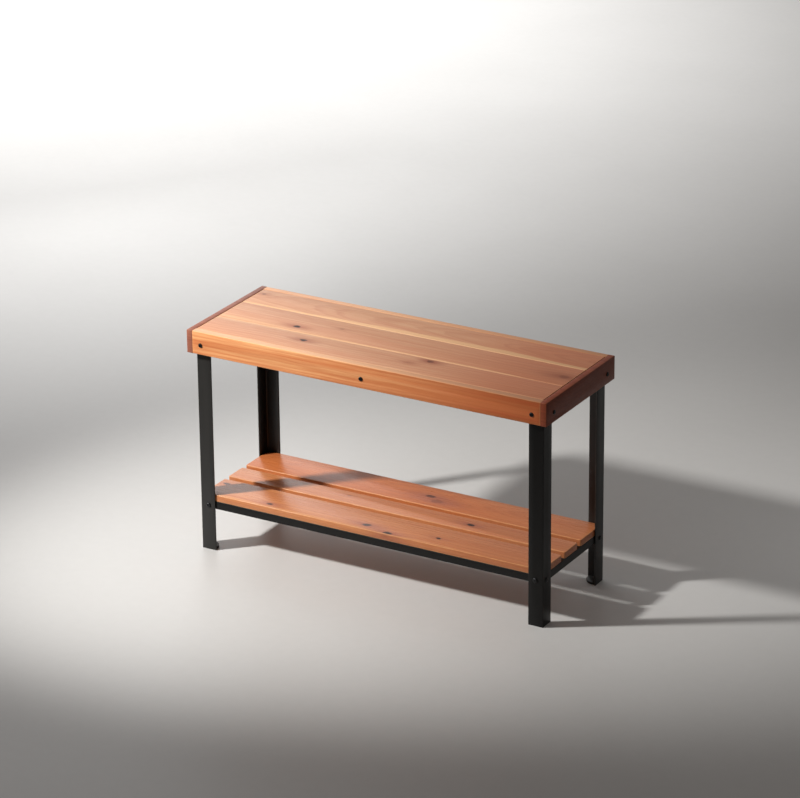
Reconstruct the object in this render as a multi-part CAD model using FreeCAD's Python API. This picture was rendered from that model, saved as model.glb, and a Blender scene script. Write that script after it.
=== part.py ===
"""Entryway bench: a cedar seat in a board frame, on four steel angle legs, with a slatted shelf below.

Sizes are in millimetres. +X runs along the bench, +Y towards its rear and +Z up. The origin lies on
the floor, midway between the legs. Each piece is a solid of its own, and like fasteners of one joint
line share a file as separate solids. Every file is parts/NODE.step.
"""

import FreeCAD, Part
import os
from math import asin, cos, pi, sin, sqrt

from FreeCAD import Vector

# Overall sizes, over the boards and without the bolt heads
BENCH_LENGTH = 800.0
BENCH_DEPTH = 280.0
SEAT_HEIGHT = 472.0

# Board frame round the seat
FRAME_HEIGHT = 48.0
APRON_THICKNESS = 15.0
APRON_EDGE_ROUND = 2.0
CAP_THICKNESS = 13.0
CAP_EDGE_CHAMFER = 1.2

# Seat planks, laid inside the frame and flush with its top
PLANK_THICKNESS = 15.0
PLANK_SHARES = {"front": 0.312, "middle": 0.366, "rear": 0.322}
PLANK_SEAM = 0.4
PLANK_SIDE_GAP = 0.3
PLANK_END_GAP = 1.2
PLANK_EDGE_ROUND = 0.8
PLANK_CORNER_ROUND = 3.0

# Battens under the planks
BATTEN_HEIGHT = 30.0
CENTRE_BATTEN_WIDTH = 40.0
END_BATTEN_WIDTH = 28.0
BATTEN_END_GAP = 0.3
BATTEN_LEG_GAP = 2.0
BATTEN_EDGE_CHAMFER = 1.0

# Leg angle, nested in the corners of the board frame
ANGLE_FLANGE = 32.0
ANGLE_WALL = 3.0
ANGLE_HEEL_ROUND = 0.8
ANGLE_TOE_ROUND = 1.5
ANGLE_ROOT_ROUND = 2.5
LEG_TOP_GAP = 0.5

# Foot plate, welded inside each leg at the floor
FOOT_PLATE_THICKNESS = 5.0
FOOT_PLATE_INSET = 2.5
FOOT_PLATE_FLAT = 5.0
WELD_GAP = 0.3

# Shelf: mitred angle rails with slats laid on top
SHELF_TOP = 120.0
RAIL_FLANGE = 16.0
RAIL_WALL = 3.0
SLAT_THICKNESS = 14.0
SLAT_SHARES = {"front": 0.367, "middle": 0.239, "rear": 0.394}
SLAT_GAP = 14.0
SLAT_SIDE_GAP = 0.5
SLAT_END_GAP = 0.5
SLAT_FLAT_AT_LEG = 4.0
SLAT_CORNER_ROUND = 3.0
SLAT_EDGE_ROUND = 1.0

# Machine bolts and nuts
BOLT_DIAMETER = 5.0
BOLT_HOLE_CLEARANCE = 0.25
TOP_HEAD_DIAMETER = 9.0
TOP_HEAD_HEIGHT = 2.2
RAIL_HEAD_DIAMETER = 10.0
RAIL_HEAD_HEIGHT = 2.8
HEAD_RIM = 0.4
SOCKET_ACROSS_FLATS = 3.0
SOCKET_DEPTH = 1.2
NUT_ACROSS_FLATS = 8.0
NUT_HEIGHT = 4.0
NUT_BORE_CLEARANCE = 0.05
BOLT_TAIL = 1.5
TOP_BOLT_DROP = 28.0
APRON_BOLT_INSET = 2.5
CENTRE_SCREW_SHIFT = -3.5
RAIL_BOLT_INSET_FRONT = 17.0
RAIL_BOLT_INSET_SIDE = 14.0

# Wood screws
SCREW_DIAMETER = 4.0
SCREW_HEAD_DIAMETER = 7.0
SCREW_HEAD_HEIGHT = 2.2
SCREW_TIP_LENGTH = 3.0
PILOT_CLEARANCE = 0.05
PILOT_END_GAP = 0.5
COUNTERBORE_DEPTH = 8.0
COUNTERBORE_CLEARANCE = 0.75
BATTEN_SCREW_BITE = 25.0
PLANK_SCREW_BITE = 10.0
CAP_SCREW_BITE = 9.0
SLAT_SCREW_BITE = 9.0

# Levels and faces that follow from the sizes above
FRAME_BOTTOM = SEAT_HEIGHT - FRAME_HEIGHT
PLANK_BOTTOM = SEAT_HEIGHT - PLANK_THICKNESS
BATTEN_BOTTOM = PLANK_BOTTOM - BATTEN_HEIGHT
LEG_TOP = PLANK_BOTTOM - LEG_TOP_GAP
TOP_BOLT_LEVEL = SEAT_HEIGHT - TOP_BOLT_DROP
RAIL_TOP = SHELF_TOP - SLAT_THICKNESS
RAIL_BOTTOM = RAIL_TOP - RAIL_FLANGE
RAIL_BOLT_LEVEL = RAIL_BOTTOM + (RAIL_FLANGE - RAIL_WALL) / 2
CAP_FACE = BENCH_LENGTH / 2
APRON_FACE = BENCH_DEPTH / 2
HEEL_X = CAP_FACE - CAP_THICKNESS
HEEL_Y = APRON_FACE - APRON_THICKNESS
RAIL_FACE_X = HEEL_X - ANGLE_WALL
RAIL_FACE_Y = HEEL_Y - ANGLE_WALL
RAIL_SCREW_LINE = (RAIL_WALL + RAIL_FLANGE) / 2
BOLT_HOLE_RADIUS = BOLT_DIAMETER / 2 + BOLT_HOLE_CLEARANCE
PILOT_RADIUS = SCREW_DIAMETER / 2 + PILOT_CLEARANCE
COUNTERBORE_RADIUS = SCREW_HEAD_DIAMETER / 2 + COUNTERBORE_CLEARANCE

ORIGIN = Vector(0, 0, 0)
X_AXIS = Vector(1, 0, 0)
Y_AXIS = Vector(0, 1, 0)
Z_AXIS = Vector(0, 0, 1)
CORNERS = {"front_left": (-1, -1), "front_right": (1, -1), "rear_left": (-1, 1), "rear_right": (1, 1)}
SIDES = {"left": -1, "right": 1}
FACES = {"front": -1, "rear": 1}
PARALLEL = 0.999
TOUCH = 0.01


def block(x_span, y_span, z_span):
    """A rectangular solid between a low and a high value on each axis."""
    size = (x_span[1] - x_span[0], y_span[1] - y_span[0], z_span[1] - z_span[0])
    return Part.makeBox(*size, Vector(x_span[0], y_span[0], z_span[0]))


def prism(points, low, height):
    """An upright solid over a closed outline of (x, y) points."""
    corners = [Vector(x, y, low) for x, y in points]
    outline = Part.makePolygon(corners + corners[:1])
    return Part.Face(outline).extrude(Z_AXIS * height)


def straight_edges(shape, direction, keep):
    """Straight edges along a direction whose middle points pass the keep test."""
    picked = []
    for edge in shape.Edges:
        if edge.Curve.TypeId != "Part::GeomLine":
            continue
        if abs(edge.tangentAt(edge.FirstParameter).dot(direction)) > PARALLEL and keep(edge.CenterOfMass):
            picked.append(edge)
    return picked


def rim_edges(shape, level):
    """All edges that lie in the horizontal plane at a level."""
    return [
        edge
        for edge in shape.Edges
        if abs(edge.BoundBox.ZMin - level) < TOUCH and abs(edge.BoundBox.ZMax - level) < TOUCH
    ]


def near(value, target):
    """True where two lengths agree."""
    return abs(value - target) < TOUCH


def placed(shape, point, direction):
    """A copy of a shape made along +Z, turned to a direction and moved to a point."""
    copy = shape.copy()
    copy.Placement = FreeCAD.Placement(point, FreeCAD.Rotation(Z_AXIS, direction))
    return copy


def to_corner(shape, side_x, side_y):
    """A front left piece, mirrored into the corner with the given signs."""
    if side_x > 0:
        shape = shape.mirror(ORIGIN, X_AXIS)
    if side_y > 0:
        shape = shape.mirror(ORIGIN, Y_AXIS)
    return shape


def drilled(shape, places, radius, depth):
    """The shape less a round hole at each (point, direction) place."""
    for point, direction in places:
        shape = shape.cut(Part.makeCylinder(radius, depth, point, direction))
    return shape


def hexagon(across_flats, low, height):
    """A six-sided prism about the Z axis."""
    reach = across_flats / sqrt(3)
    points = [(reach * cos(turn * pi / 3), reach * sin(turn * pi / 3)) for turn in range(6)]
    return prism(points, low, height)


def domed_head(diameter, height):
    """A button head below the XY plane, with a six-sided socket in its crown."""
    radius = diameter / 2
    rise = height - HEAD_RIM
    dome_radius = (radius**2 + rise**2) / (2 * rise)
    half_turn = asin(radius / dome_radius) / 2
    rim = Vector(radius, 0, -HEAD_RIM)
    shoulder = Vector(dome_radius * sin(half_turn), 0, dome_radius * (1 - cos(half_turn)) - height)
    crown = Vector(0, 0, -height)
    profile = Part.Wire(
        [
            Part.LineSegment(ORIGIN, Vector(radius, 0, 0)).toShape(),
            Part.LineSegment(Vector(radius, 0, 0), rim).toShape(),
            Part.Arc(rim, shoulder, crown).toShape(),
            Part.LineSegment(crown, ORIGIN).toShape(),
        ]
    )
    head = Part.Face(profile).revolve(ORIGIN, Z_AXIS, 360)
    return head.cut(hexagon(SOCKET_ACROSS_FLATS, -height, SOCKET_DEPTH))


def bolt(head_diameter, head_height, length):
    """A machine bolt whose shank runs along +Z from under its head."""
    shank = Part.makeCylinder(BOLT_DIAMETER / 2, length)
    return domed_head(head_diameter, head_height).fuse(shank).removeSplitter()


def wood_screw(head_diameter, length):
    """A wood screw with a pointed end, along +Z from under its head."""
    radius = SCREW_DIAMETER / 2
    shank = Part.makeCylinder(radius, length - SCREW_TIP_LENGTH)
    tip = Part.makeCone(radius, radius / 4, SCREW_TIP_LENGTH, Z_AXIS * (length - SCREW_TIP_LENGTH))
    return domed_head(head_diameter, SCREW_HEAD_HEIGHT).fuse(shank.fuse(tip)).removeSplitter()


def nut():
    """A plain hexagon nut that sits on the XY plane."""
    bore = Part.makeCylinder(BOLT_DIAMETER / 2 + NUT_BORE_CLEARANCE, NUT_HEIGHT)
    return hexagon(NUT_ACROSS_FLATS, 0, NUT_HEIGHT).cut(bore)


def spans(low, high, shares, gap):
    """Divide a width among boards by their shares, with a gap between neighbours."""
    room = high - low - gap * (len(shares) - 1)
    result = {}
    edge = low
    for name, share in shares.items():
        result[name] = (edge, edge + room * share)
        edge += room * share + gap
    return result


def quarter_points(low, high):
    """The two places a quarter of the way in from each end of a stretch."""
    return [low + (high - low) / 4, high - (high - low) / 4]


# Where the boards, battens and fasteners lie

PLANK_SPANS = spans(-HEEL_Y + PLANK_SIDE_GAP, HEEL_Y - PLANK_SIDE_GAP, PLANK_SHARES, PLANK_SEAM)
SLAT_SPANS = spans(-RAIL_FACE_Y + SLAT_SIDE_GAP, RAIL_FACE_Y - SLAT_SIDE_GAP, SLAT_SHARES, SLAT_GAP)
END_BATTEN_REACH = HEEL_Y - ANGLE_FLANGE - BATTEN_LEG_GAP
SEAM_LINES = [PLANK_SPANS["front"][1] + PLANK_SEAM / 2, PLANK_SPANS["rear"][0] - PLANK_SEAM / 2]


def apron_bolt_places(face):
    """Heads of the two bolts that hold an apron to its legs."""
    reach = HEEL_X - ANGLE_FLANGE / 2 - APRON_BOLT_INSET
    return [
        (Vector(side * reach, face * APRON_FACE, TOP_BOLT_LEVEL), Y_AXIS * -face)
        for side in SIDES.values()
    ]


def cap_bolt_places(side):
    """Heads of the two bolts that hold an end cap to its legs."""
    return [
        (Vector(side * CAP_FACE, face * (HEEL_Y - ANGLE_FLANGE / 2), TOP_BOLT_LEVEL), X_AXIS * -side)
        for face in FACES.values()
    ]


def apron_screw_place(face):
    """Head of the screw that holds an apron to the centre batten."""
    return Vector(CENTRE_SCREW_SHIFT, face * APRON_FACE, TOP_BOLT_LEVEL), Y_AXIS * -face


def rail_bolt_places():
    """Heads of the bolts that hold the shelf frame inside the legs."""
    places = []
    for side_x, side_y in CORNERS.values():
        front = Vector(side_x * (HEEL_X - RAIL_BOLT_INSET_FRONT), side_y * HEEL_Y, RAIL_BOLT_LEVEL)
        side = Vector(side_x * HEEL_X, side_y * (HEEL_Y - RAIL_BOLT_INSET_SIDE), RAIL_BOLT_LEVEL)
        places.append((front, Y_AXIS * -side_y))
        places.append((side, X_AXIS * -side_x))
    return places


def centre_batten_screw_places():
    """Screws up through the centre batten, two to a plank, on alternate sides of its middle."""
    places = []
    for low, high in PLANK_SPANS.values():
        for side, y in zip(SIDES.values(), quarter_points(low, high)):
            x = side * CENTRE_BATTEN_WIDTH / 4
            places.append((Vector(x, y, BATTEN_BOTTOM + COUNTERBORE_DEPTH), Z_AXIS))
    return places


def end_batten_screw_places(side):
    """Screws up through an end batten, two to a plank, where the plank crosses it."""
    x = side * (HEEL_X - END_BATTEN_WIDTH / 2)
    places = []
    for low, high in PLANK_SPANS.values():
        for y in quarter_points(max(low, -END_BATTEN_REACH), min(high, END_BATTEN_REACH)):
            places.append((Vector(x, y, BATTEN_BOTTOM + COUNTERBORE_DEPTH), Z_AXIS))
    return places


def cap_screw_places(side):
    """Screws through an end batten into its cap, under the seams of the planks."""
    x = side * (HEEL_X - END_BATTEN_WIDTH + COUNTERBORE_DEPTH)
    return [(Vector(x, y, BATTEN_BOTTOM + BATTEN_HEIGHT / 2), X_AXIS * side) for y in SEAM_LINES]


def slat_screw_places():
    """Screws up through the rails into the slats."""
    level = RAIL_TOP - RAIL_WALL
    places = []
    for side in SIDES.values():
        for low, high in SLAT_SPANS.values():
            for y in quarter_points(low, high):
                places.append((Vector(side * (RAIL_FACE_X - RAIL_SCREW_LINE), y, level), Z_AXIS))
    for face in FACES.values():
        for step in (-1, 0, 1):
            x = step * RAIL_FACE_X / 2
            places.append((Vector(x, face * (RAIL_FACE_Y - RAIL_SCREW_LINE), level), Z_AXIS))
    return places


# Pieces


def apron(face):
    """A long frame board between the end caps, rounded along its outer edges."""
    inner, outer = sorted((face * HEEL_Y, face * APRON_FACE))
    board = block((-HEEL_X, HEEL_X), (inner, outer), (FRAME_BOTTOM, SEAT_HEIGHT))
    outside = straight_edges(board, X_AXIS, lambda middle: near(middle.y, face * APRON_FACE))
    board = board.makeFillet(APRON_EDGE_ROUND, outside)
    board = drilled(board, apron_bolt_places(face), BOLT_HOLE_RADIUS, APRON_THICKNESS)
    return drilled(board, [apron_screw_place(face)], PILOT_RADIUS, APRON_THICKNESS)


def end_cap(side):
    """A frame board across the full depth, with small chamfers on its long edges."""
    inner, outer = sorted((side * HEEL_X, side * CAP_FACE))
    board = block((inner, outer), (-APRON_FACE, APRON_FACE), (FRAME_BOTTOM, SEAT_HEIGHT))
    board = board.makeChamfer(CAP_EDGE_CHAMFER, straight_edges(board, Y_AXIS, lambda middle: True))
    board = drilled(board, cap_bolt_places(side), BOLT_HOLE_RADIUS, CAP_THICKNESS)
    depth = END_BATTEN_WIDTH - COUNTERBORE_DEPTH + CAP_SCREW_BITE + PILOT_END_GAP
    return drilled(board, cap_screw_places(side), PILOT_RADIUS, depth)


def seat_plank(name):
    """One seat board, eased along its top edges and at its corners."""
    reach = HEEL_X - PLANK_END_GAP
    board = block((-reach, reach), PLANK_SPANS[name], (PLANK_BOTTOM, SEAT_HEIGHT))
    board = board.makeFillet(PLANK_CORNER_ROUND, straight_edges(board, Z_AXIS, lambda middle: True))
    board = board.makeFillet(PLANK_EDGE_ROUND, rim_edges(board, SEAT_HEIGHT))
    places = centre_batten_screw_places()
    for side in SIDES.values():
        places += end_batten_screw_places(side)
    depth = BATTEN_HEIGHT - COUNTERBORE_DEPTH + PLANK_SCREW_BITE + PILOT_END_GAP
    return drilled(board, places, PILOT_RADIUS, depth)


def batten(x_span, y_reach, screw_places):
    """A softwood batten under the planks, counterbored for its upward screws."""
    board = block(x_span, (-y_reach, y_reach), (BATTEN_BOTTOM, PLANK_BOTTOM))
    lower = straight_edges(board, Y_AXIS, lambda middle: near(middle.z, BATTEN_BOTTOM))
    board = board.makeChamfer(BATTEN_EDGE_CHAMFER, lower)
    board = drilled(board, screw_places, PILOT_RADIUS, BATTEN_HEIGHT)
    mouths = [(point - direction * COUNTERBORE_DEPTH, direction) for point, direction in screw_places]
    return drilled(board, mouths, COUNTERBORE_RADIUS, COUNTERBORE_DEPTH)


def centre_batten():
    """The batten across the middle, held by a screw through each apron."""
    half = CENTRE_BATTEN_WIDTH / 2
    board = batten((-half, half), HEEL_Y - BATTEN_END_GAP, centre_batten_screw_places())
    depth = APRON_THICKNESS + BATTEN_SCREW_BITE + PILOT_END_GAP
    return drilled(board, [apron_screw_place(face) for face in FACES.values()], PILOT_RADIUS, depth)


def end_batten(side):
    """A batten against an end cap, between the legs, screwed to the cap and the planks."""
    x_span = sorted((side * HEEL_X, side * (HEEL_X - END_BATTEN_WIDTH)))
    board = batten(x_span, END_BATTEN_REACH, end_batten_screw_places(side))
    places = cap_screw_places(side)
    board = drilled(board, places, PILOT_RADIUS, END_BATTEN_WIDTH)
    mouths = [(point - direction * COUNTERBORE_DEPTH, direction) for point, direction in places]
    return drilled(board, mouths, COUNTERBORE_RADIUS, COUNTERBORE_DEPTH)


def leg(side_x, side_y):
    """A length of steel angle with its heel in a corner of the board frame."""
    outline = [
        (-HEEL_X, -HEEL_Y),
        (-HEEL_X + ANGLE_FLANGE, -HEEL_Y),
        (-HEEL_X + ANGLE_FLANGE, -HEEL_Y + ANGLE_WALL),
        (-HEEL_X + ANGLE_WALL, -HEEL_Y + ANGLE_WALL),
        (-HEEL_X + ANGLE_WALL, -HEEL_Y + ANGLE_FLANGE),
        (-HEEL_X, -HEEL_Y + ANGLE_FLANGE),
    ]
    heel, _, front_toe, root, side_toe, _ = outline
    angle = prism(outline, 0, LEG_TOP)
    for radius, corners in (
        (ANGLE_HEEL_ROUND, [heel]),
        (ANGLE_TOE_ROUND, [front_toe, side_toe]),
        (ANGLE_ROOT_ROUND, [root]),
    ):
        for x, y in corners:
            upright = straight_edges(angle, Z_AXIS, lambda middle: near(middle.x, x) and near(middle.y, y))
            angle = angle.makeFillet(radius, upright)
    angle = to_corner(angle, side_x, side_y)
    reach = ANGLE_WALL + CAP_THICKNESS + APRON_THICKNESS
    places = rail_bolt_places() + apron_bolt_places(side_y) + cap_bolt_places(side_x)
    return drilled(angle, places, BOLT_HOLE_RADIUS, reach)


def foot_plate(side_x, side_y):
    """A plate welded inside a leg, with its free corner on a large round."""
    reach = ANGLE_FLANGE - ANGLE_WALL - FOOT_PLATE_INSET
    low_x = -RAIL_FACE_X
    low_y = -RAIL_FACE_Y
    plate = block((low_x, low_x + reach), (low_y, low_y + reach), (0, FOOT_PLATE_THICKNESS))
    root = straight_edges(plate, Z_AXIS, lambda middle: near(middle.x, low_x) and near(middle.y, low_y))
    plate = plate.makeChamfer(ANGLE_ROOT_ROUND + WELD_GAP, root)
    free = straight_edges(
        plate, Z_AXIS, lambda middle: near(middle.x, low_x + reach) and near(middle.y, low_y + reach)
    )
    plate = plate.makeFillet(reach - FOOT_PLATE_FLAT, free)
    return to_corner(plate, side_x, side_y)


def rail(length_reach, depth_reach):
    """A shelf rail of small angle along -Y, mitred at both ends, with its outer corners cut back."""
    cut = ANGLE_ROOT_ROUND + WELD_GAP
    plan = [
        (cut - length_reach, -depth_reach),
        (length_reach - cut, -depth_reach),
        (length_reach - cut / 2, cut / 2 - depth_reach),
        (length_reach - RAIL_FLANGE, RAIL_FLANGE - depth_reach),
        (RAIL_FLANGE - length_reach, RAIL_FLANGE - depth_reach),
        (cut / 2 - length_reach, cut / 2 - depth_reach),
    ]
    bar = prism(plan, RAIL_BOTTOM, RAIL_FLANGE)
    hollow = block(
        (-length_reach, length_reach),
        (RAIL_WALL - depth_reach, RAIL_FLANGE - depth_reach),
        (RAIL_BOTTOM, RAIL_TOP - RAIL_WALL),
    )
    return bar.cut(hollow)


def shelf_rail(name):
    """One of the four rails of the shelf frame, turned to its side and drilled."""
    if name in FACES:
        bar = to_corner(rail(RAIL_FACE_X, RAIL_FACE_Y), -1, FACES[name])
    else:
        bar = rail(RAIL_FACE_Y, RAIL_FACE_X)
        bar.rotate(ORIGIN, Z_AXIS, -90)
        bar = to_corner(bar, SIDES[name], -1)
    bar = drilled(bar, rail_bolt_places(), BOLT_HOLE_RADIUS, ANGLE_WALL + RAIL_WALL)
    return drilled(bar, slat_screw_places(), BOLT_DIAMETER / 2, RAIL_WALL)


def shelf_slat(name):
    """One shelf board, its top edges eased, with a large round where it meets a left leg."""
    reach = RAIL_FACE_X - SLAT_END_GAP
    low, high = SLAT_SPANS[name]
    outer = {"front": low, "middle": None, "rear": high}[name]
    leg_side_round = ANGLE_FLANGE - ANGLE_WALL - SLAT_FLAT_AT_LEG
    board = block((-reach, reach), (low, high), (RAIL_TOP, SHELF_TOP))
    for edge in straight_edges(board, Z_AXIS, lambda middle: True):
        x, y = edge.CenterOfMass.x, edge.CenterOfMass.y
        at_left_leg = outer is not None and near(y, outer) and x < 0
        radius = leg_side_round if at_left_leg else SLAT_CORNER_ROUND
        upright = straight_edges(board, Z_AXIS, lambda middle: near(middle.x, x) and near(middle.y, y))
        board = board.makeFillet(radius, upright)
    board = board.makeFillet(SLAT_EDGE_ROUND, rim_edges(board, SHELF_TOP))
    depth = RAIL_WALL + SLAT_SCREW_BITE + PILOT_END_GAP
    return drilled(board, slat_screw_places(), PILOT_RADIUS, depth)


def fasteners(shape, places):
    """A group of like fasteners, one at each place."""
    return Part.makeCompound([placed(shape, point, direction) for point, direction in places])


def nuts(places, grip):
    """Nuts at the far side of the material that the bolts pass through."""
    return fasteners(nut(), [(point + direction * grip, direction) for point, direction in places])


def all_pieces():
    """Every node of the bench by name."""
    pieces = {}
    for name, face in FACES.items():
        pieces[f"{name}_apron"] = apron(face)
    for name, side in SIDES.items():
        pieces[f"{name}_end_cap"] = end_cap(side)
        pieces[f"{name}_end_batten"] = end_batten(side)
    pieces["centre_batten"] = centre_batten()
    for name in PLANK_SHARES:
        pieces[f"seat_plank_{name}"] = seat_plank(name)
    for name, (side_x, side_y) in CORNERS.items():
        pieces[f"{name}_leg"] = leg(side_x, side_y)
        pieces[f"{name}_foot_plate"] = foot_plate(side_x, side_y)
    for name in (*FACES, *SIDES):
        pieces[f"shelf_rail_{name}"] = shelf_rail(name)
    for name in SLAT_SHARES:
        pieces[f"shelf_slat_{name}"] = shelf_slat(name)
    pieces.update(all_fasteners())
    return pieces


def all_fasteners():
    """Every group of bolts, nuts and screws by name."""
    apron_grip = APRON_THICKNESS + ANGLE_WALL
    cap_grip = CAP_THICKNESS + ANGLE_WALL
    rail_grip = ANGLE_WALL + RAIL_WALL
    end = NUT_HEIGHT + BOLT_TAIL
    apron_bolt = bolt(TOP_HEAD_DIAMETER, TOP_HEAD_HEIGHT, apron_grip + end)
    cap_bolt = bolt(TOP_HEAD_DIAMETER, TOP_HEAD_HEIGHT, cap_grip + end)
    rail_bolt = bolt(RAIL_HEAD_DIAMETER, RAIL_HEAD_HEIGHT, rail_grip + end)
    apron_screw = wood_screw(TOP_HEAD_DIAMETER, APRON_THICKNESS + BATTEN_SCREW_BITE)
    plank_screw = wood_screw(SCREW_HEAD_DIAMETER, BATTEN_HEIGHT - COUNTERBORE_DEPTH + PLANK_SCREW_BITE)
    cap_screw = wood_screw(SCREW_HEAD_DIAMETER, END_BATTEN_WIDTH - COUNTERBORE_DEPTH + CAP_SCREW_BITE)
    slat_screw = wood_screw(SCREW_HEAD_DIAMETER, RAIL_WALL + SLAT_SCREW_BITE)
    groups = {}
    for name, face in FACES.items():
        groups[f"{name}_apron_bolts"] = fasteners(apron_bolt, apron_bolt_places(face))
        groups[f"{name}_apron_nuts"] = nuts(apron_bolt_places(face), apron_grip)
        groups[f"{name}_apron_screw"] = fasteners(apron_screw, [apron_screw_place(face)])
    for name, side in SIDES.items():
        groups[f"{name}_cap_bolts"] = fasteners(cap_bolt, cap_bolt_places(side))
        groups[f"{name}_cap_nuts"] = nuts(cap_bolt_places(side), cap_grip)
        groups[f"{name}_cap_screws"] = fasteners(cap_screw, cap_screw_places(side))
        groups[f"{name}_plank_screws"] = fasteners(plank_screw, end_batten_screw_places(side))
    groups["centre_plank_screws"] = fasteners(plank_screw, centre_batten_screw_places())
    groups["rail_bolts"] = fasteners(rail_bolt, rail_bolt_places())
    groups["rail_nuts"] = nuts(rail_bolt_places(), rail_grip)
    groups["slat_screws"] = fasteners(slat_screw, slat_screw_places())
    return groups


def main():
    """Write one STEP file per node."""
    os.makedirs("parts", exist_ok=True)
    for name, shape in all_pieces().items():
        if not shape.isValid() or not shape.Solids:
            raise ValueError(f"{name} is not a valid solid")
        shape.exportStep(f"parts/{name}.step")
        print(f"{name}: {len(shape.Solids)} solid(s), {shape.Volume / 1000:.2f} cm3")


main()
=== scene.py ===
"""Looks of an entryway bench: a cedar seat in a board frame, black steel angle legs and a slatted shelf.

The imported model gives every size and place. Each class below builds one sub-assembly around it and
dresses it, each finish is a class of its own, and effects that finishes share are shader node groups.
Lengths are in metres, +X runs along the bench, +Y towards its rear and +Z up.
"""

import logging
import math
from collections.abc import Callable, Iterable
from dataclasses import dataclass, field, replace
from enum import Enum

import bpy
from mathutils import Matrix, Vector


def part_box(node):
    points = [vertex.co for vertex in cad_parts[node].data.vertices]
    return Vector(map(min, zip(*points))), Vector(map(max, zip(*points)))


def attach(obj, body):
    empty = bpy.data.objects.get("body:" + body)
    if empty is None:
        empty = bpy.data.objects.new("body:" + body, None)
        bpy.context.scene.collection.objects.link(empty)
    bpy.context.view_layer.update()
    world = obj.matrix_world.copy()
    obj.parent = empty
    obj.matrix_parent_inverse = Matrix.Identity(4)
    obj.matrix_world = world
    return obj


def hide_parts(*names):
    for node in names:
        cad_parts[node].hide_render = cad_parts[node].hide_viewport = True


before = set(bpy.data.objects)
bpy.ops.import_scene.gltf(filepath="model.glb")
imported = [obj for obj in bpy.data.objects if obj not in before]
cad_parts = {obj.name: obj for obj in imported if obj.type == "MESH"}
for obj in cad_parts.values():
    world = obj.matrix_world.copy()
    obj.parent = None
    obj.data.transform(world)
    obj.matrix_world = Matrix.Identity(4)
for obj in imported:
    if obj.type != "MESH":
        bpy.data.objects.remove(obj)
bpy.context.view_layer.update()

LOG = logging.getLogger("bench")
ROOT = "root"
MM = 0.001
FACING = 0.9
MIDDLE = (0.5, 0.5, 0.5)
Piece = bpy.types.Object
Socket = bpy.types.NodeSocket
Outputs = bpy.types.NodeOutputs
EdgeTest = Callable[[Vector, Vector], bool]
Span = tuple[Vector, Vector]
Colour = tuple[float, float, float]


class Axis(Enum):
    """A direction of the shared frame."""

    X = Vector((1, 0, 0))
    Y = Vector((0, 1, 0))
    Z = Vector((0, 0, 1))


class Side(Enum):
    """The front or the rear of the bench."""

    FRONT = "front"
    REAR = "rear"


class Mode(Enum):
    """What the operators work on: whole objects, or the mesh of one."""

    OBJECT = "OBJECT"
    EDIT = "EDIT"


class Part(Enum):
    """The part of a mesh that is selected."""

    EDGE = "EDGE"
    FACE = "FACE"


FRAME_BOLTS = ("front_apron_bolts", "rear_apron_bolts", "left_cap_bolts", "right_cap_bolts")


# ---------------------------------------------------------------- modelling helpers


def enter(mode: Mode) -> None:
    """Change to object mode or to edit mode."""
    bpy.ops.object.mode_set(mode=mode.value)


def deselect_all() -> None:
    """Leave edit mode and clear the selection."""
    if bpy.context.object is not None and bpy.context.object.mode != "OBJECT":
        enter(Mode.OBJECT)
    bpy.ops.object.select_all(action="DESELECT")


def make_active(piece: Piece) -> None:
    """Select one object and nothing else.

    Args:
        piece: The object that the next operators work on.
    """
    deselect_all()
    piece.select_set(True)
    bpy.context.view_layer.objects.active = piece


def settle(piece: Piece) -> Piece:
    """Move an object's place, turn and size into its mesh.

    Args:
        piece: The object to settle.

    Returns:
        The same object, now at the origin.
    """
    make_active(piece)
    bpy.ops.object.transform_apply(location=True, rotation=True, scale=True)
    return piece


def add_block(name: str, low: Vector, high: Vector) -> Piece:
    """Add a rectangular block.

    Args:
        name: The piece's name.
        low: Lowest corner.
        high: Highest corner.

    Returns:
        The new object, settled at the origin.
    """
    deselect_all()
    bpy.ops.mesh.primitive_cube_add(size=1, location=(low + high) / 2)
    piece = bpy.context.object
    piece.name = name
    piece.scale = high - low
    return settle(piece)


def select(piece: Piece, part: Part, keep: Callable[[object], bool]) -> int:
    """Select, in edit mode, the edges or faces that pass a test.

    Args:
        piece: The mesh object.
        part: Whether edges or faces are selected.
        keep: A test of an edge or a face.

    Returns:
        How many were selected.
    """
    make_active(piece)
    enter(Mode.EDIT)
    bpy.ops.mesh.select_mode(type=part.value)
    bpy.ops.mesh.select_all(action="DESELECT")
    enter(Mode.OBJECT)
    count = 0
    for item in piece.data.edges if part is Part.EDGE else piece.data.polygons:
        item.select = keep(item)
        count += item.select
    enter(Mode.EDIT)
    return count


def same(value: float, target: float, slack: float = 0.02 * MM) -> bool:
    """True where two lengths agree."""
    return abs(value - target) < slack


def round_edges(
    piece: Piece, keep: EdgeTest, radius: float, segments: int
) -> None:
    """Round the edges that pass a test.

    Args:
        piece: The mesh object.
        keep: A test of an edge's two end points.
        radius: Radius of the round.
        segments: How many faces the round has across it.
    """

    def passes(edge: bpy.types.MeshEdge) -> bool:
        """Put an edge's two end points to the test."""
        return keep(*(piece.data.vertices[index].co for index in edge.vertices))

    if select(piece, Part.EDGE, passes):
        bpy.ops.mesh.bevel(
            offset=radius, segments=segments, profile=0.5, affect="EDGES", clamp_overlap=True
        )
    enter(Mode.OBJECT)


def upright_at(x: float, y: float) -> EdgeTest:
    """A test for the vertical edge above a point."""
    return lambda a, b: all((same(p.x, x) and same(p.y, y)) for p in (a, b)) and not same(a.z, b.z)


def at_level(level: float) -> EdgeTest:
    """A test for edges that lie at one height."""
    return lambda a, b: same(a.z, level) and same(b.z, level)


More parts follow.
